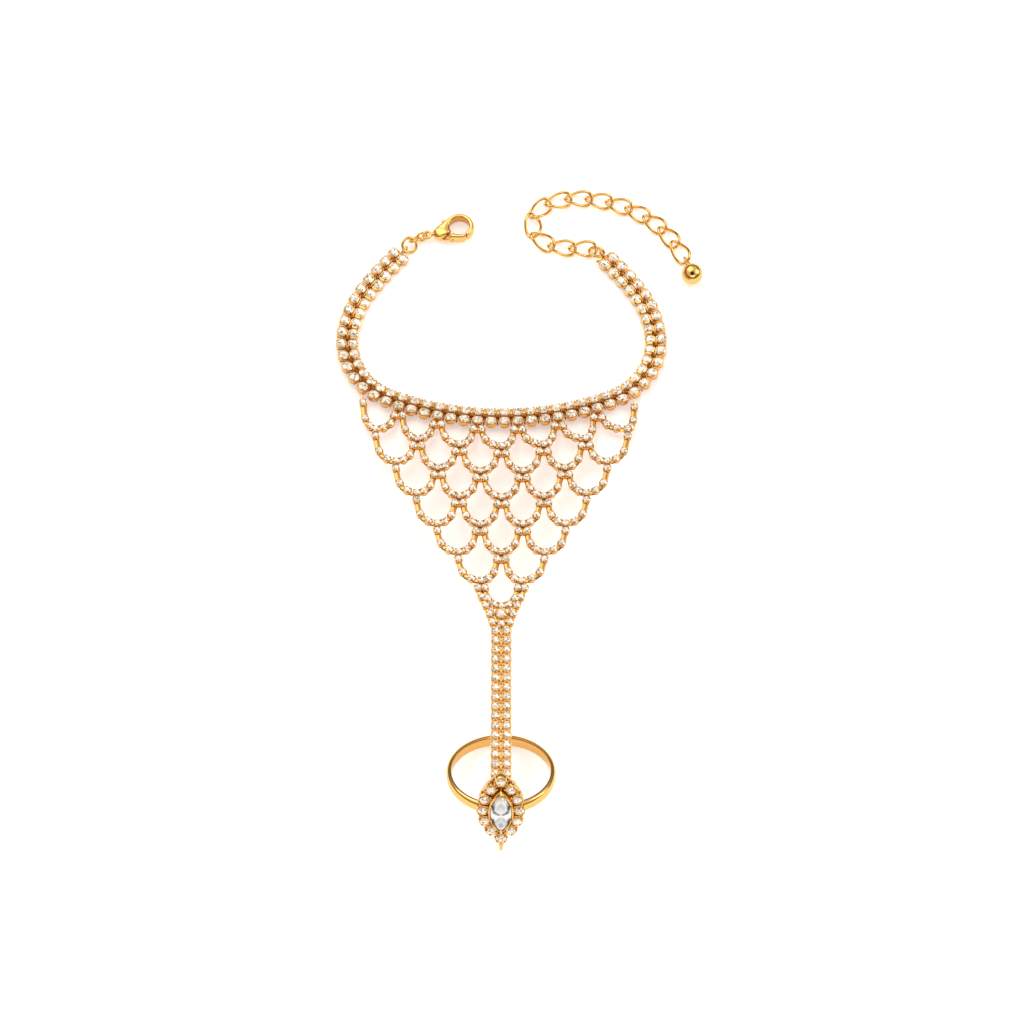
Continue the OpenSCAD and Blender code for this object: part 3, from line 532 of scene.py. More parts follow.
def hangerEye(k):
    c, far = hangerCup(k), k in (0, net["rows"])
    x = c[0] + ((0.15 if k == 0 else -0.15) if far else 0)
    return np.array([x, (c[1] - band["cupRadius"] - (1.5 if far else 0.4) - panel["y"]) / slopeCos])


def junction(r, k):
    if r == 0:
        return hangerEye(k) - [0, 0.5]
    x = (k - (net["rows"] - r) / 2) * net["pitch"]
    return np.array([x * (net["lastShare"] if r == 6 else 1), net["rowY"][r] + net["bow"][r] * x * x])


def lowest(r, k):
    return np.array([0, net["lastY"]]) if r == net["rows"] - 1 else junction(r + 1, k) + [0, net["drop"]]


def sideStep(r, k):
    if k in (0, net["rows"] - r) and r != net["rows"] - 1:
        return 0.0
    return net["lastSide"] if r == 6 else net["pairSide"]


def scallop(r, k):
    # seven cups on a quarter ellipse down from one junction and one up to the next
    a, b = junction(r, k) + [sideStep(r, k), 0], junction(r, k + 1) - [sideStep(r, k + 1), 0]
    m, cups = lowest(r, k), []
    for i in range(7):
        t = math.radians(net["turns"][i if i < 4 else 6 - i])
        e = a if i < 3 else b
        cups.append([m[0] + (e[0] - m[0]) * math.cos(t), e[1] + (m[1] - e[1]) * math.sin(t)] if i != 3 else m)
    return np.array(cups)


def netWire(points, size, deep=0.0):
    # a round or flattened wire in the net's plane, darkened by the painted shade given
    wire = tube(points, [size] if np.ndim(size) else size, 8)
    wire["deep"] += deep
    return copies(wire, onPanel)


def atHeight(line, z):
    return np.column_stack([line, np.full(len(line), z)])


for k in range(net["rows"] + 1):  # wire loops that hang the net from the band
    c, q = hangerCup(k), hangerEye(k)
    v = np.array([c[0], (c[1] - panel["y"]) / slopeCos]) - q
    far = np.linalg.norm(v) - band["cupRadius"] + 0.12
    v /= np.linalg.norm(v)
    eye = copies(roundWire(0.27, 0.1, 16, 6), moved([*q, 0]) @ turned("y", 90))
    rise = 0.5 if far > 1 else 0.0
    arm = tube([[*(q + v * 0.25), 0], [*(q + v * (far + 0.25) / 2), rise * 0.7], [*(q + v * far), rise]], 0.16, 8)
    parts.append(copies(together(eye, arm), onPanel))
addPiece("bandCups", together(*parts), "chain", ["band_settings_left", "band_settings_right"], goldCups)
addPiece("gapShadowDiscs", copies(gapShadowDisc, pairPlaces[:-1]), "chain", [], goldGapShadow)

stonePlaces = np.concatenate([pairPlaces @ moved([0, s * half, band["top"] - band["seat"]]) for s in (1, -1)])
spin = turned("z", rng.uniform(-band["spin"], band["spin"], len(stonePlaces)))
bandStones = copies(brilliant(band["stone"], band["square"]), stonePlaces @ spin)
addPiece("bandStones", bandStones, "chain", ["band_stones_left", "band_stones_right"], crystal, True,
         facetColours(bandStones))

# net

netCup = cup({"r": net["cupRadius"], "low": net["low"], "top": net["top"], "rise": 0.8, "sides": 10,
              "corner": 0.92, "prong": 0.13, "prongSides": 5, "prongShade": 0.75})
parts, cupPlaces = [], []
for r in range(net["rows"]):
    for k in range(net["rows"] - r):
        s = scallop(r, k)
        step = np.diff(s, axis=0)
        turns = heading(np.vstack([step[:1], step[1:] + step[:-1], step[-1:]]))
        cupPlaces.append(onPanel @ moved(s) @ turned("z", turns))
        # the scallop wires carry some painted shade, the struts and ties between rows all of it
        parts.append(netWire(atHeight(curveThrough(s, 4), net["under"]), net["wire"], net["wireShade"]))
        if r < net["rows"] - 1:
            down = junction(r + 1, k) - [0, 0.25]
            parts.append(netWire([[*s[3], -0.1], [*down, -0.1]], net["strut"], 1))
    for k in range(net["rows"] - r + 1):
        q, w = junction(r, k) - [0, 0.3], sideStep(r, k)
        if w > 0:
            parts.append(netWire(atHeight([q - [w, 0], q + [w, 0]], net["under"]), net["tie"], 1))
for k in range(net["rows"] + 1):
    q, w = hangerEye(k), (0.5 if k in (0, net["rows"]) else net["pairSide"])
    parts.append(netWire(atHeight([q - [w, 0], q + [w, 0]], 0), 0.13))
    if k in (0, net["rows"]):
        for e in (-0.5, 0.5):
            parts.append(netWire([[q[0] + e, q[1] - 0.6, -0.05], [q[0] + e, q[1] + 0.05, 0]], 0.17))

yoke = {"flank": [[4.32, -39.85], [3.62, -41.95], [2.86, -43.85], [2.14, -45.8], [1.62, -47.7]],
        "bar": [[2.3, -42.4], [1.62, -44.3], [1.28, -46.2], [0.5, -48.2], [0.2, -49.2]], "barWire": 0.16,
        "barUp": 0.3, "centre": -46.0, "lowCup": -47.95, "stone": 0.93, "stoneUp": 0.84, "spine": (0.34, 0.3),
        "dish": [(0, -0.5), (0.95, -0.5), (1.15, -0.3), (1.24, 0.3), (1.22, 0.86), (1.12, 0.96), (0.97, 0.9),
                 (0.92, 0.7), (0.4, 0.35), (0, 0.3)]}
for e in (-1, 1):
    side = np.array(yoke["flank"]) * [e, 1]
    run = np.vstack([side, [e * panel["stemRows"] / 2, panel["stemTop"]]])
    cupPlaces.append(onPanel @ moved(side) @ turned("z", heading(np.diff(run, axis=0))))
    parts.append(netWire(atHeight(curveThrough(run, 4), net["under"]), net["wire"]))
    # thin bars that run from the last scallop beside the centre stone down to the stem
    bar = curveThrough(np.array(yoke["bar"]) * [e, 1], 5)
    parts.append(netWire(atHeight(bar, yoke["barUp"]), yoke["barWire"]))
cupPlaces = np.concatenate(cupPlaces)
parts.append(copies(netCup, cupPlaces))
beads = copies(ball(0.19, 8, 4), turned("z", [45, 135, 225, 315]) @ moved([1.06, 0, 0.95]))
onCentre = onPanel @ moved([0, yoke["centre"], 0])
# the dish darkens with painted shade from its rim down to its floor
parts.append(copies(together(lathe(yoke["dish"], 24, deep=(-0.5, 0.9)), beads), onCentre))
parts.append(netWire([[0, -44, -0.15], [0, -48.4, -0.15]], yoke["spine"]))
onLowCup = onPanel @ moved([0, yoke["lowCup"], -0.05])
parts.append(copies(netCup, onLowCup @ turned("z", 45)))

# stem, its first pair soldered to the net

stem = {"r": 0.92, "low": -0.75, "top": 0.65, "rise": 0.9, "sides": 14, "corner": 0.98, "prong": 0.14,
        "prongSides": 6, "prongShade": 0.2, "stone": 0.77, "seat": 0.22}
stemHalf = panel["stemRows"] / 2
down = panel["stemTop"] - np.arange(panel["stemPairs"] + 1) * panel["stemPitch"]
stemPlaces = onPanel @ moved(np.column_stack([0 * down, down])) @ turned("z", -90)
stemPair = together(copies(cup(stem), moved([[0, stemHalf, 0], [0, -stemHalf, 0]])),
                    tube([[0, -0.8, -0.2], [0, 0.8, -0.2]], [[0.28, 0.4]], 8),
                    tube([[-1.0, 0, -0.05], [1.0, 0, -0.05]], [[0.26, 0.22]], 8),
                    copies(ball(0.3, 10, 6), moved([panel["stemPitch"] / 2, 0, 0.22])))
addPiece("netSettings", together(*parts, copies(stemPair, stemPlaces[:1])), "chain", ["hand_mesh"], goldCups)
addPiece("stemCups", copies(stemPair, stemPlaces[1:]), "chain", ["stem_settings"], goldCups)


def spun(places):
    # the same places, each turned about its own axis by chance
    return places @ turned("z", rng.uniform(0, 45, len(places)))


places = np.concatenate([cupPlaces, onLowCup[None]]) @ moved([0, 0, net["top"] - net["seat"]])
netStones = copies(brilliant(net["stone"]), spun(places))
addPiece("netStones", netStones, "chain", [], crystal, True, facetColours(netStones))
yokeStone = copies(brilliant(yoke["stone"]), onCentre @ moved([0, 0, yoke["stoneUp"]]))
addPiece("yokeStone", yokeStone, "chain", ["yoke_stone"], crystal, True, facetColours(yokeStone, dark=0.0))
places = np.concatenate([stemPlaces @ moved([0, s * stemHalf, stem["top"] - stem["seat"]]) for s in (1, -1)])
stemStones = copies(brilliant(stem["stone"]), spun(places))
addPiece("stemStones", stemStones, "chain", ["stem_stones"], crystal, True, facetColours(stemStones))

# finger ring and its head

head = {"middle": 1.5, "haloX": 3.32, "haloY": 6.82, "halo": 12, "haloStone": 0.92, "cupTop": 2.1, "shade": 0.8,
        "stoneX": 1.95, "stoneY": 4.33, "stoneUp": 2.62, "stoneHigh": 1.5, "plateX": 0.95, "plateY": 1.1,
        "plate": [(0.02, -0.5), (0.06, -0.2), (0.25, -0.06), (0.6, -0.02), (0.9, -0.1), (1.08, -0.4)],
        "bezel": [(0.3, 0.9), (0.3, 2.0), (0.24, 2.6), (0.12, 2.82), (-0.02, 2.86), (-0.12, 2.76),
                  (-0.14, 2.4), (-0.2, 0.9)]}


def lensOutline(x, y, steps):
    # two arcs that meet in a point at each end, counter-clockwise from the right
    r = (x * x + y * y) / (2 * x)
    reach = math.asin(y / r)
    t = np.linspace(-reach, reach, steps, endpoint=False)
    right = np.column_stack([x - r + r * np.cos(t), r * np.sin(t)])
    return np.vstack([right, -right]) + [0, head["middle"]]


# hoop: a section with a flat inner face and a crowned outer one, turned about the finger; the inner face carries
# painted shade
a = 2 * np.pi * np.arange(ring["across"]) / ring["across"]
w = np.sign(np.sin(a)) * np.abs(np.sin(a)) ** 0.75 * ring["width"] / 2
c = np.cos(a)
rad = ring["bore"] + ring["wall"] * np.where(c > 0, 0.4 + 0.6 * np.abs(c) ** 0.8, 0.4 - 0.4 * np.abs(c) ** 0.4)
t = 2 * np.pi * np.arange(ring["around"])[:, None] / ring["around"]
pts = np.stack(np.broadcast_arrays(rad * np.cos(t), rad * np.sin(t), w), -1)
hoop = shape(pts, {4: gridFaces(ring["around"], ring["across"], True)},
             np.tile(np.where(c < -0.2, 0.45, 0.0), ring["around"]))

plate = slab(lensOutline(head["haloX"] + head["plateX"], head["haloY"] + head["plateY"], 48), head["plate"])
# painted shade on the plate under the halo
plate["deep"] += 0.3

lensR = (head["haloX"] ** 2 + head["haloY"] ** 2) / (2 * head["haloX"])
lensTurn = math.degrees(math.asin(head["haloY"] / lensR))
haloSpots, haloTurns = [], []
for i in range(head["halo"]):  # from the upper point down the right side, and back up the left one
    e, j = (1, i) if i <= 6 else (-1, 12 - i)
    t = math.radians(lensTurn * (1 - j / 3))
    haloSpots.append([e * (head["haloX"] - lensR + lensR * math.cos(t)), head["middle"] + lensR * math.sin(t), 0])
    haloTurns.append(math.degrees(math.atan2(math.sin(t), e * math.cos(t))) if i not in (0, 6) else 90)
haloSpots = np.array(haloSpots)
haloPlaces = moved(haloSpots) @ turned("z", haloTurns)
haloCup = cup({"r": 1.12, "low": 0.1, "top": head["cupTop"] + 0.12, "rise": 0.9, "sides": 18, "corner": 0.98,
               "prong": 0.17, "prongSides": 8, "prongShade": 0.0})
# the plate and the halo cups take only part of their painted shade
for q in (plate, haloCup):
    q["deep"] *= head["shade"]
# beads outside and inside the gaps of the halo
between = (haloSpots + np.roll(haloSpots, -1, 0)) / 2
normal = np.stack([between[:, 0] * 2.2, between[:, 1] - head["middle"]], -1)
normal *= 0.62 / np.linalg.norm(normal, axis=1, keepdims=True)
outerBeads = between + atHeight(normal, head["cupTop"] - 0.05)
innerBeads = between - atHeight(normal, -head["cupTop"] - 0.15)

outline = lensOutline(head["stoneX"] + 0.16, head["stoneY"] + 0.3, 32)
out = outward(outline)
pts = np.stack([atHeight(outline + out * d, z) for d, z in head["bezel"]], 1)
bezel = shape(pts, {4: gridFaces(len(outline), len(head["bezel"]), True)})
claws = []
for e in (1, -1):  # a claw folded over each point of the stone
    y0 = head["middle"] + e * (head["stoneY"] + 0.42)
    claws.append(tube([[0, y0 + e * 0.2, 1.6], [0, y0, 2.7], [0, y0 - e * 0.42, 3.28], [0, y0 - e * 1.25, 3.36]],
                      [0.3, 0.27, 0.21, 0.15], 10, up=(1, 0, 0)))
for x in (1, -1):  # two small ones on each long side
    for y in (head["middle"] + 1.6, head["middle"] - 1.6):
        claws.append(tube([[x * 2.05, y, 2.2], [x * 1.98, y, 2.95], [x * 1.66, y, 3.1]], [0.2, 0.17, 0.13], 8,
                          up=(0, 1, 0)))
# the lower end is drawn out to a narrow point with a raised edge along its middle
point = together(tube([[0, -5.2, 0.5], [0, -6.3, 0.75], [0, -7.2, 0.8], [0, -8.3, 0.6], [0, -9.3, 0.45]],
                      [[1.35, 0.5], [1.05, 0.6], [0.66, 0.6], [0.4, 0.45], [0.28, 0.3]], 14),
                 tube([[0, -6.3, 2.3], [0, -6.75, 2.35], [0, -7.15, 1.9], [0, -7.6, 1.3], [0, -8.6, 0.95]],
                      [0.16, 0.2, 0.22, 0.22, 0.14], 8, up=(1, 0, 0)),
                 copies(ball(0.34, 12, 8), moved([0, -9.2, 0.45])))
setting = together(plate, copies(haloCup, haloPlaces), copies(ball(0.24, 8, 6), moved(outerBeads)),
                   copies(ball(0.2, 8, 6), moved(innerBeads)), bezel, *claws, point)
joint = tube([[0, 0.9, -0.05], [0, -0.6, -0.05], [0, -1.1, -0.2]], [[0.3, 0.28], [0.34, 0.28], [0.5, 0.4]], 10)
onLastPin = onPanel @ moved([0, stemEnd, 0])
addPiece("fingerRing", together(copies(hoop, onRing), copies(setting, onHead), copies(joint, onLastPin)), "chain",
         ["finger_ring"], goldShadedHollows)

marquise = {"rim": 20, "rounds": 11, "table": (0.84, 0.87), "tableUp": 0.4, "star": (0.92, 0.93), "starUp": 0.26,
            "keel": 0.6, "tint": (0.95, 0.97, 1.0), "tone": 0.98, "below": 0.8,
            # grey lobes of painted reflection above and below the middle: along, half width and length, strength
            "lobes": ((0.42, 0.46, 0.33, 0.4), (-0.42, 0.5, 0.3, 0.62)),
            # dark strokes of painted reflection, each a row of soft spots: across, along, strength, width, length
            "strokes": ((0.6, 0.56, 0.6, 0.14, 0.1), (0.72, 0.36, 1.3, 0.15, 0.13), (0.6, 0.16, 0.9, 0.16, 0.07),
                        (0.42, 0.08, 0.9, 0.16, 0.05), (0.2, 0.02, 0.9, 0.14, 0.045), (0.76, -0.26, 0.8, 0.13, 0.09),
                        (0.7, -0.42, 1.3, 0.15, 0.12), (0.55, -0.62, 0.9, 0.14, 0.1))}


def marquiseCut(x, y, h):
    # boat cut: a broad table, two rows of crown facets round it, and a keel below; the table is
    # laid in rounds of small level faces, so that painted reflections can be coloured into it
    o = lensOutline(x, y, marquise["rim"]) - [0, head["middle"]]
    n, rounds = len(o), marquise["rounds"]
    shares = np.array(marquise["table"])
    starLine = (o + np.roll(o, -1, 0)) / 2 * marquise["star"]
    rows = [atHeight(o * (shares * k / rounds), h * marquise["tableUp"]) for k in range(1, rounds + 1)]
    rows += [atHeight(starLine, h * marquise["starUp"]), atHeight(o, 0.06), atHeight(o, -0.05)]
    v = np.vstack([*rows, [[0, 0, h * marquise["tableUp"]], [0, 0, -h * marquise["keel"]]]])
    # where the table's edge, the star row, the upper and lower girdle and the two poles start
    edge, star, upper, lower, pole = ((rounds + k) * n for k in (-1, 0, 1, 2, 3))
    i = np.arange(n)
    j = (i + 1) % n
    tris = [np.stack([i, j, np.full(n, pole)], -1), np.stack([edge + i, star + i, edge + j], -1),
            np.stack([star + i, upper + i, upper + j], -1),
            np.stack([lower + i, np.full(n, pole + 1), lower + j], -1)]
    quads = [gridFaces(rounds, n), np.stack([star + (i - 1) % n, upper + i, star + i, edge + i], -1),
             np.stack([upper + i, lower + i, lower + j, upper + j], -1)]
    return shape(v, {3: np.vstack(tris), 4: np.vstack(quads)})


stone = marquiseCut(head["stoneX"] - 0.02, head["stoneY"] - 0.02, head["stoneHigh"])
middles = np.vstack([stone["v"][stone["f"][k]].mean(1) for k in (3, 4)])
across, along = np.abs(middles[:, 0]) / head["stoneX"], middles[:, 1] / head["stoneY"]
# painted dark reflections: the strokes run in from the sides to a bow tie across the middle, and the edges stay
# white
tone = np.full(len(middles), marquise["tone"])
streaks = 0.7 + 0.3 * np.cos(11 * along + 7 * across)
for y, wide, long, depth in marquise["lobes"]:
    tone -= depth * streaks * np.clip(1.35 - (across / wide) ** 2 - ((along - y) / long) ** 2, 0, 1)
for x, y, depth, wide, long in marquise["strokes"]:
    tone -= depth * np.exp(-((across - x) / wide) ** 2 - ((along - y) / long) ** 2)
tone = np.where(middles[:, 2] > 0, np.clip(tone, 0.01, 1), marquise["below"])
placed = copies(stone, onHead @ moved([0, head["middle"], head["stoneUp"]]))
addPiece("marquiseStone", placed, "chain", ["marquise_stone"], largeCrystal, True,
         tone[:, None] * np.array(marquise["tint"]))
halo = copies(brilliant(head["haloStone"]), spun(onHead @ moved(haloSpots + [0, 0, head["cupTop"] - 0.12])))
addPiece("haloStones", halo, "chain", ["halo_stone_%d" % i for i in range(1, head["halo"] + 1)], crystal,
         True, facetColours(halo))

# clasp and the rings that carry it; spots are so far ahead and to the left of the first ring

jump = {"radius": 1.45, "wire": 0.28, "steps": 48, "sides": 12}
small = {"wire": 0.23, "steps": 40, "sides": 10}
leftRings = {"jump": (1.369, -0.033), "turn": -12.0, "smallOne": (1.681, 0.486), "smallTwo": (3.083, 0.047),
             "smallTurn": -17.0, "eye": (4.107, -0.268)}
clasp = {"turn": 8.0, "up": 0.1, "hook": (6.55, 0.75), "hole": 1.9, "wall": 1.05, "small": (2.7, 0.0),
         "smallR": 1.45, "high": 2.3, "eye": 0.75, "eyeWire": 0.28, "clear": 0.02, "sides": 24}


def rest(radius, leaning, wire):
    # how high the middle of a leaning ring of wire lies
    return radius * abs(math.sin(math.radians(leaning))) + wire + 0.02


def seamedRing(spot, turn, leaning, radius, kind, seam):
    # a ring of wire that rests on the table, a little thicker than the solid's, its seam turned aside
    place = moved([*spot, rest(radius, leaning, kind["wire"])]) @ turned("z", turn) @ turned("x", leaning)
    wire = roundWire(radius, kind["wire"] + 0.03, kind["steps"], kind["sides"], gap=0.04)
    return copies(wire, place @ turned("z", seam))


leftOut = pairTurn[0] + 180
leftTurn = leftOut + leftRings["turn"]
smallTurn = leftTurn + leftRings["smallTurn"]
leftJump = ahead(endLoops[0], leftOut, *leftRings["jump"])
smallOne, smallTwo, eyeAt = (ahead(leftJump, leftTurn, *leftRings[key]) for key in ("smallOne", "smallTwo", "eye"))
addPiece("leftJumpRing", seamedRing(leftJump, leftTurn, 36, jump["radius"], jump, 70), "chain", ["left_jump_ring"],
         gold)
smallRings = together(seamedRing(smallOne, smallTurn, -42.7, 1.15, small, 110),
                      seamedRing(smallTwo, smallTurn, 75.4, 1.0, small, 250))
addPiece("smallRings", smallRings, "chain", ["small_ring_1", "small_ring_2"], gold)

onClasp = moved([*eyeAt, clasp["up"]]) @ turned("z", clasp["turn"])
hook, mid = np.array(clasp["hook"]), clasp["high"] / 2


def claspReach(angles):
    # how far the drop-shaped outline lies from the middle of the hole: the outline is the
    # skin of all circles between the hook's and the body's
    u = np.column_stack([np.cos(np.radians(angles)), np.sin(np.radians(angles))])
    share = np.linspace(0, 1, 60)
    c = share[:, None] * (np.array(clasp["small"]) - hook)
    r = clasp["hole"] + clasp["wall"] + share * (clasp["smallR"] - clasp["hole"] - clasp["wall"])
    along = u @ c.T
    inside = r ** 2 - (c ** 2).sum(1) + along ** 2
    return np.where(inside > 0, along + np.sqrt(np.maximum(inside, 0)), 0).max(1)


def signedPower(v, power):
    return np.sign(v) * np.abs(v) ** power


def hookBand(first, last, steps, tall, roundFirst, roundLast, power, narrow=1.0):
    # a closed section between the hole and the outline, carried round the hole; it draws in
    # over a share of its length at each end, by the root of 1 - (1 - s / share) ** 2
    a, sides = np.linspace(first, last, steps), clasp["sides"]
    outside = claspReach(a) - clasp["clear"]
    inside = np.full(steps, clasp["hole"] + clasp["clear"])
    tallness = np.interp(np.abs(((a - 180) + 180) % 360 - 180), [0, 60, 120, 180], tall)
    s = np.abs(a - first) / abs(last - first)
    ends = (np.sqrt(1 - np.clip(1 - v / share, 0, 1) ** 2) for v, share in ((s, roundFirst), (1 - s, roundLast)))
    ease = np.clip(np.minimum(*ends), 0.12, 1)
    m, w = (outside + inside) / 2, (outside - inside) / 2 * ease * narrow
    t = 2 * np.pi * np.arange(sides) / sides
    # a crisp edge round the hole, a round one outside; the wall round the hole carries painted shade
    x = signedPower(np.cos(t), np.where(np.cos(t) < 0, 0.42, power))
    z = signedPower(np.sin(t), np.where(np.cos(t) < 0, 0.6, power))
    r = m[:, None] + w[:, None] * x[None]
    u = np.column_stack([np.cos(np.radians(a)), np.sin(np.radians(a))])
    height = mid + (tallness * ease)[:, None] * z[None]
    pts = np.concatenate([hook + r[..., None] * u[:, None], height[..., None]], -1)
    caps = np.array([np.arange(sides), (steps - 1) * sides + np.arange(sides)[::-1]])
    return shape(pts, {4: gridFaces(steps, sides), sides: caps},
                 np.tile(np.where((x < -0.85) & (np.abs(z) < 0.97), 0.9, 0.0), steps))


# the body with the swirl, a long low fold across it, the stud, the eye and its neck
foldLine = curveThrough([[1.3, 0.35, mid + 0.62], [2.3, 0.55, mid + 0.86], [3.4, 0.3, mid + 0.92],
                         [4.3, -0.35, mid + 0.9]], 6)
foldWide = np.interp(np.linspace(0, 1, len(foldLine)), [0, 0.4, 0.8, 1], [0.14, 0.32, 0.3, 0.1])
claspBody = together(hookBand(214, -66, 110, [1.13, 1.13, 1.05, 0.98], 0.03, 0.02, 0.85),
                     tube(foldLine, np.column_stack([foldWide, foldWide * 0.8]), 12),
                     tube([[3.9, 1.9, mid], [3.66, 2.5, mid]], [0.32, 0.42], 12),
                     copies(ball(0.5, 16, 10), moved([3.66, 2.42, mid])),
                     copies(roundWire(clasp["eye"], clasp["eyeWire"], 36, 12), moved([0, 0, mid])),
                     tube([[0.8, 0, mid], [1.5, 0, mid]], [[0.32, 0.3], [0.6, 0.5]], 12))
addPiece("claspBody", copies(claspBody, onClasp), "chain", ["clasp_body"], goldShadedHollows)
# the lever: its arc in the hook's gap, its arm back to the pin, and the thumb's knob
claspLever = together(hookBand(222, 291.5, 30, [1.0, 1.0, 1.0, 1.0], 0.06, 0.06, 0.8, 0.98),
                      tube([[2.5, -1.2, mid], [3.3, -1.55, mid], [4.3, -1.6, mid], [5.2, -1.45, mid]],
                           [[0.2, 0.36], [0.3, 0.42], [0.36, 0.44], [0.4, 0.5]], 12),
                      tube([[4.62, -1.5, mid], [4.7, -2.05, mid]], [0.34, 0.3], 12))
addPiece("claspLever", copies(claspLever, onClasp), "lever", ["clasp_lever"], goldShadedHollows)

# extender chain

chain = {"links": 13, "pitch": 4.1, "a": 2.7, "b": 1.52, "c": 0.66, "wire": 0.31, "clear": 0.32,
         "jump": (1.367, 0.334), "jumpTurn": 25.2, "start": (3.679, 1.964)}
chainRoute = [[12.2, 58.35], [8.9, 59.3], [6.7, 61.6], [6.2, 64.4], [7.5, 67.1], [10.6, 69], [14.7, 69.7],
              [19.1, 69.3], [23.3, 68.1], [27.3, 66.1], [30.8, 63.4], [33.5, 60.1], [35.5, 56.6],
              [36.9, 53.1], [37.6, 50.2]]
rightOut = pairTurn[-1]
rightJump = ahead(endLoops[1], rightOut, *chain["jump"])
addPiece("rightJumpRing", seamedRing(rightJump, rightOut + chain["jumpTurn"], 22.5, jump["radius"], jump, 200),
         "chain", ["right_jump_ring"], gold)
chainLine = curveThrough([ahead(endLoops[1], rightOut, *chain["start"]), *chainRoute], 8)
s = np.arange(chain["links"]) * chain["pitch"]
linkTurns = heading(alongLine(chainLine, s + 1.5) - alongLine(chainLine, np.maximum(s - 1.5, 0)))
linkSpots = atHeight(alongLine(chainLine, s), chain["c"] + chain["clear"])
t = 2 * np.pi * np.arange(48) / 48  # a link's wire: a cos t, b sin t, rising and falling as c sin 2t
linkLine = np.column_stack([chain["a"] * np.cos(t), chain["b"] * np.sin(t), chain["c"] * np.sin(2 * t)])
links = copies(tube(linkLine, chain["wire"], 10, closed=True), moved(linkSpots) @ turned("z", linkTurns))
addPiece("chainLinks", links, "chain", ["link_%d" % i for i in range(1, chain["links"] + 1)], gold)

pendant = {"ball": 2.1, "out": 3.5, "turn": -12.0, "bail": 0.95, "bailWire": 0.23, "bailLean": 60, "eye": 0.52,
           "eyeWire": 0.17}
lastTurn = linkTurns[-1]
bailAt = ahead(linkSpots[-1], lastTurn, chain["a"] - 0.02, 0.02)
bailZ = rest(pendant["bail"], pendant["bailLean"], pendant["bailWire"])
onBall = moved([*bailAt, bailZ]) @ turned("z", lastTurn + pendant["turn"])
ballPlace = moved([pendant["out"], 0, pendant["ball"] - bailZ]) @ turned("y", 70)
bail = roundWire(pendant["bail"], pendant["bailWire"], 36, 10)
eye = roundWire(pendant["eye"], pendant["eyeWire"], 24, 8)
endBall = together(copies(ball(pendant["ball"], 64, 40), ballPlace), copies(bail, turned("x", -pendant["bailLean"])),
                   copies(eye, moved([1.25, 0, 0.45]) @ turned("y", 70)),
                   tube([[1.0, 0, 0.05], [1.35, 0, 0.5], [1.9, 0, 0.75]], [0.3, 0.4, 0.5], 12, up=(0, 1, 0)))
addPiece("endBall", copies(endBall, onBall), "chain", ["end_ball"], gold, sharp=60)

# floor, light and camera

studio = {"look": (0.001 * (shift[0] + 2), 0.001 * shift[1], 0.0), "elevation": 62.0, "distance": 0.8,
          "lens": 147.7, "floor": 1.6, "floorTints": ((0.97, 0.965, 0.96, 1), (0.95, 0.95, 0.95, 1)),
          "floorGlow": (1.0, 0.97, 0.93, 1), "glow": 0.4, "sky": 0.86,
          "skyStops": [(0.0, (0.5, 0.43, 0.36)), (0.13, (0.16, 0.12, 0.09)), (0.3, (0.24, 0.19, 0.15)),
                       (0.48, (0.9, 0.84, 0.77)), (0.8, (1.0, 0.95, 0.89)), (1.0, (0.85, 0.81, 0.76))]}
softboxes = {"keySoftbox": ((-0.3, 0.42, 0.8), (0.85, 0.85), 3.1, (1.0, 0.985, 0.96)),
             "sideSoftbox": ((0.7, 0.1, 0.45), (0.45, 0.6), 1.7, (1.0, 0.98, 0.95)),
             "frontSoftbox": ((0.1, -0.8, 0.5), (0.7, 0.35), 1.0, (1.0, 0.99, 0.97))}
floorMesh = bpy.data.meshes.new("floor")
f = studio["floor"]
floorMesh.from_pydata([(-f, -f, 0), (f, -f, 0), (f, f, 0), (-f, f, 0)], [], [(0, 1, 2, 3)])
floor = bpy.data.objects.new("floor", floorMesh)
bpy.context.scene.collection.objects.link(floor)
m, s = freshMaterial("paleFloor", (0.95, 0.95, 0.95))
where = s.node("ShaderNodeTexCoord", {}, {}, "Object")
cloud = s.node("ShaderNodeTexNoise", {}, {"Vector": where, "Scale": 6.0}, 0)
paler, plainer = studio["floorTints"]
tint = s.node("ShaderNodeMix", {"data_type": "RGBA"}, {0: cloud * 0.3, 6: paler, 7: plainer}, 2)
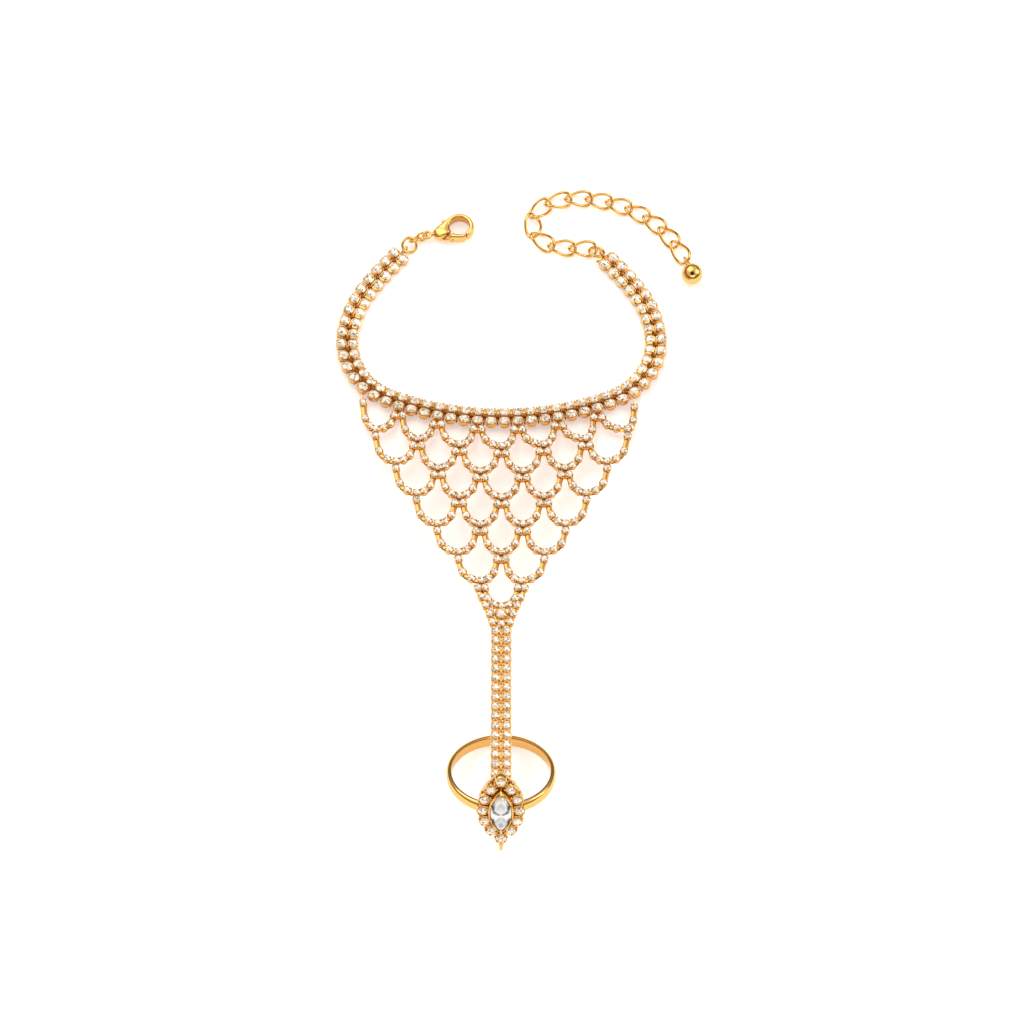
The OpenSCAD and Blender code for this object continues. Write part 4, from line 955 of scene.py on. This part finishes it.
finishMaterial(m, s, {"Base Color": tint, "Roughness": 0.9, "Specular IOR Level": 0.1,
                      "Emission Color": studio["floorGlow"], "Emission Strength": studio["glow"]})
floorMesh.materials.append(m)

world = bpy.data.worlds.new("studio")
bpy.context.scene.world = world
world.use_nodes = True
world.node_tree.nodes.clear()
s = Signal(world.node_tree)
where = s.node("ShaderNodeTexCoord", {}, {}, "Generated")
upness = s.node("ShaderNodeSeparateXYZ", {}, {0: where}, 2)
sky = s.node("ShaderNodeValToRGB", {"stops": studio["skyStops"]}, {0: upness}, 0)
# the dark spot that a mirror shows where the photographer stands
e = math.radians(studio["elevation"])
toward = s.node("ShaderNodeVectorMath", {"operation": "DOT_PRODUCT"},
                {0: where, 1: (0, -math.cos(e), math.sin(e))}, "Value")
lit = s.node("ShaderNodeMapRange", {}, {"Value": toward, "From Min": 0.9, "From Max": 0.94, "To Min": 1.0,
                                        "To Max": 0.05}, 0)
back = s.node("ShaderNodeBackground", {}, {"Color": sky, "Strength": lit * studio["sky"]})
worldOut = world.node_tree.nodes.new("ShaderNodeOutputWorld")
world.node_tree.links.new(back.socket, worldOut.inputs["Surface"])

for name, (place, size, power, colour) in softboxes.items():
    lamp = bpy.data.lights.new(name, "AREA")
    lamp.shape, lamp.size, lamp.size_y = "RECTANGLE", size[0], size[1]
    lamp.energy, lamp.color = power, colour
    item = bpy.data.objects.new(name, lamp)
    item.location = place
    item.rotation_mode = "QUATERNION"
    item.rotation_quaternion = (-Vector(place)).to_track_quat("-Z", "Y")  # towards the origin
    bpy.context.scene.collection.objects.link(item)

cameraData = bpy.data.cameras.new("camera")
cameraData.lens, cameraData.sensor_width = studio["lens"], 36.0
cameraData.clip_start, cameraData.clip_end = 0.01, 10.0
camera = bpy.data.objects.new("camera", cameraData)
x, y, z = studio["look"]
camera.location = (x, y - studio["distance"] * math.cos(e), z + studio["distance"] * math.sin(e))
camera.rotation_euler = (math.radians(90) - e, 0, 0)
bpy.context.scene.collection.objects.link(camera)
bpy.context.scene.camera = camera
bpy.context.scene.view_settings.view_transform = "Standard"
bpy.context.scene.view_settings.look = "None"
print("hand chain: studio set")
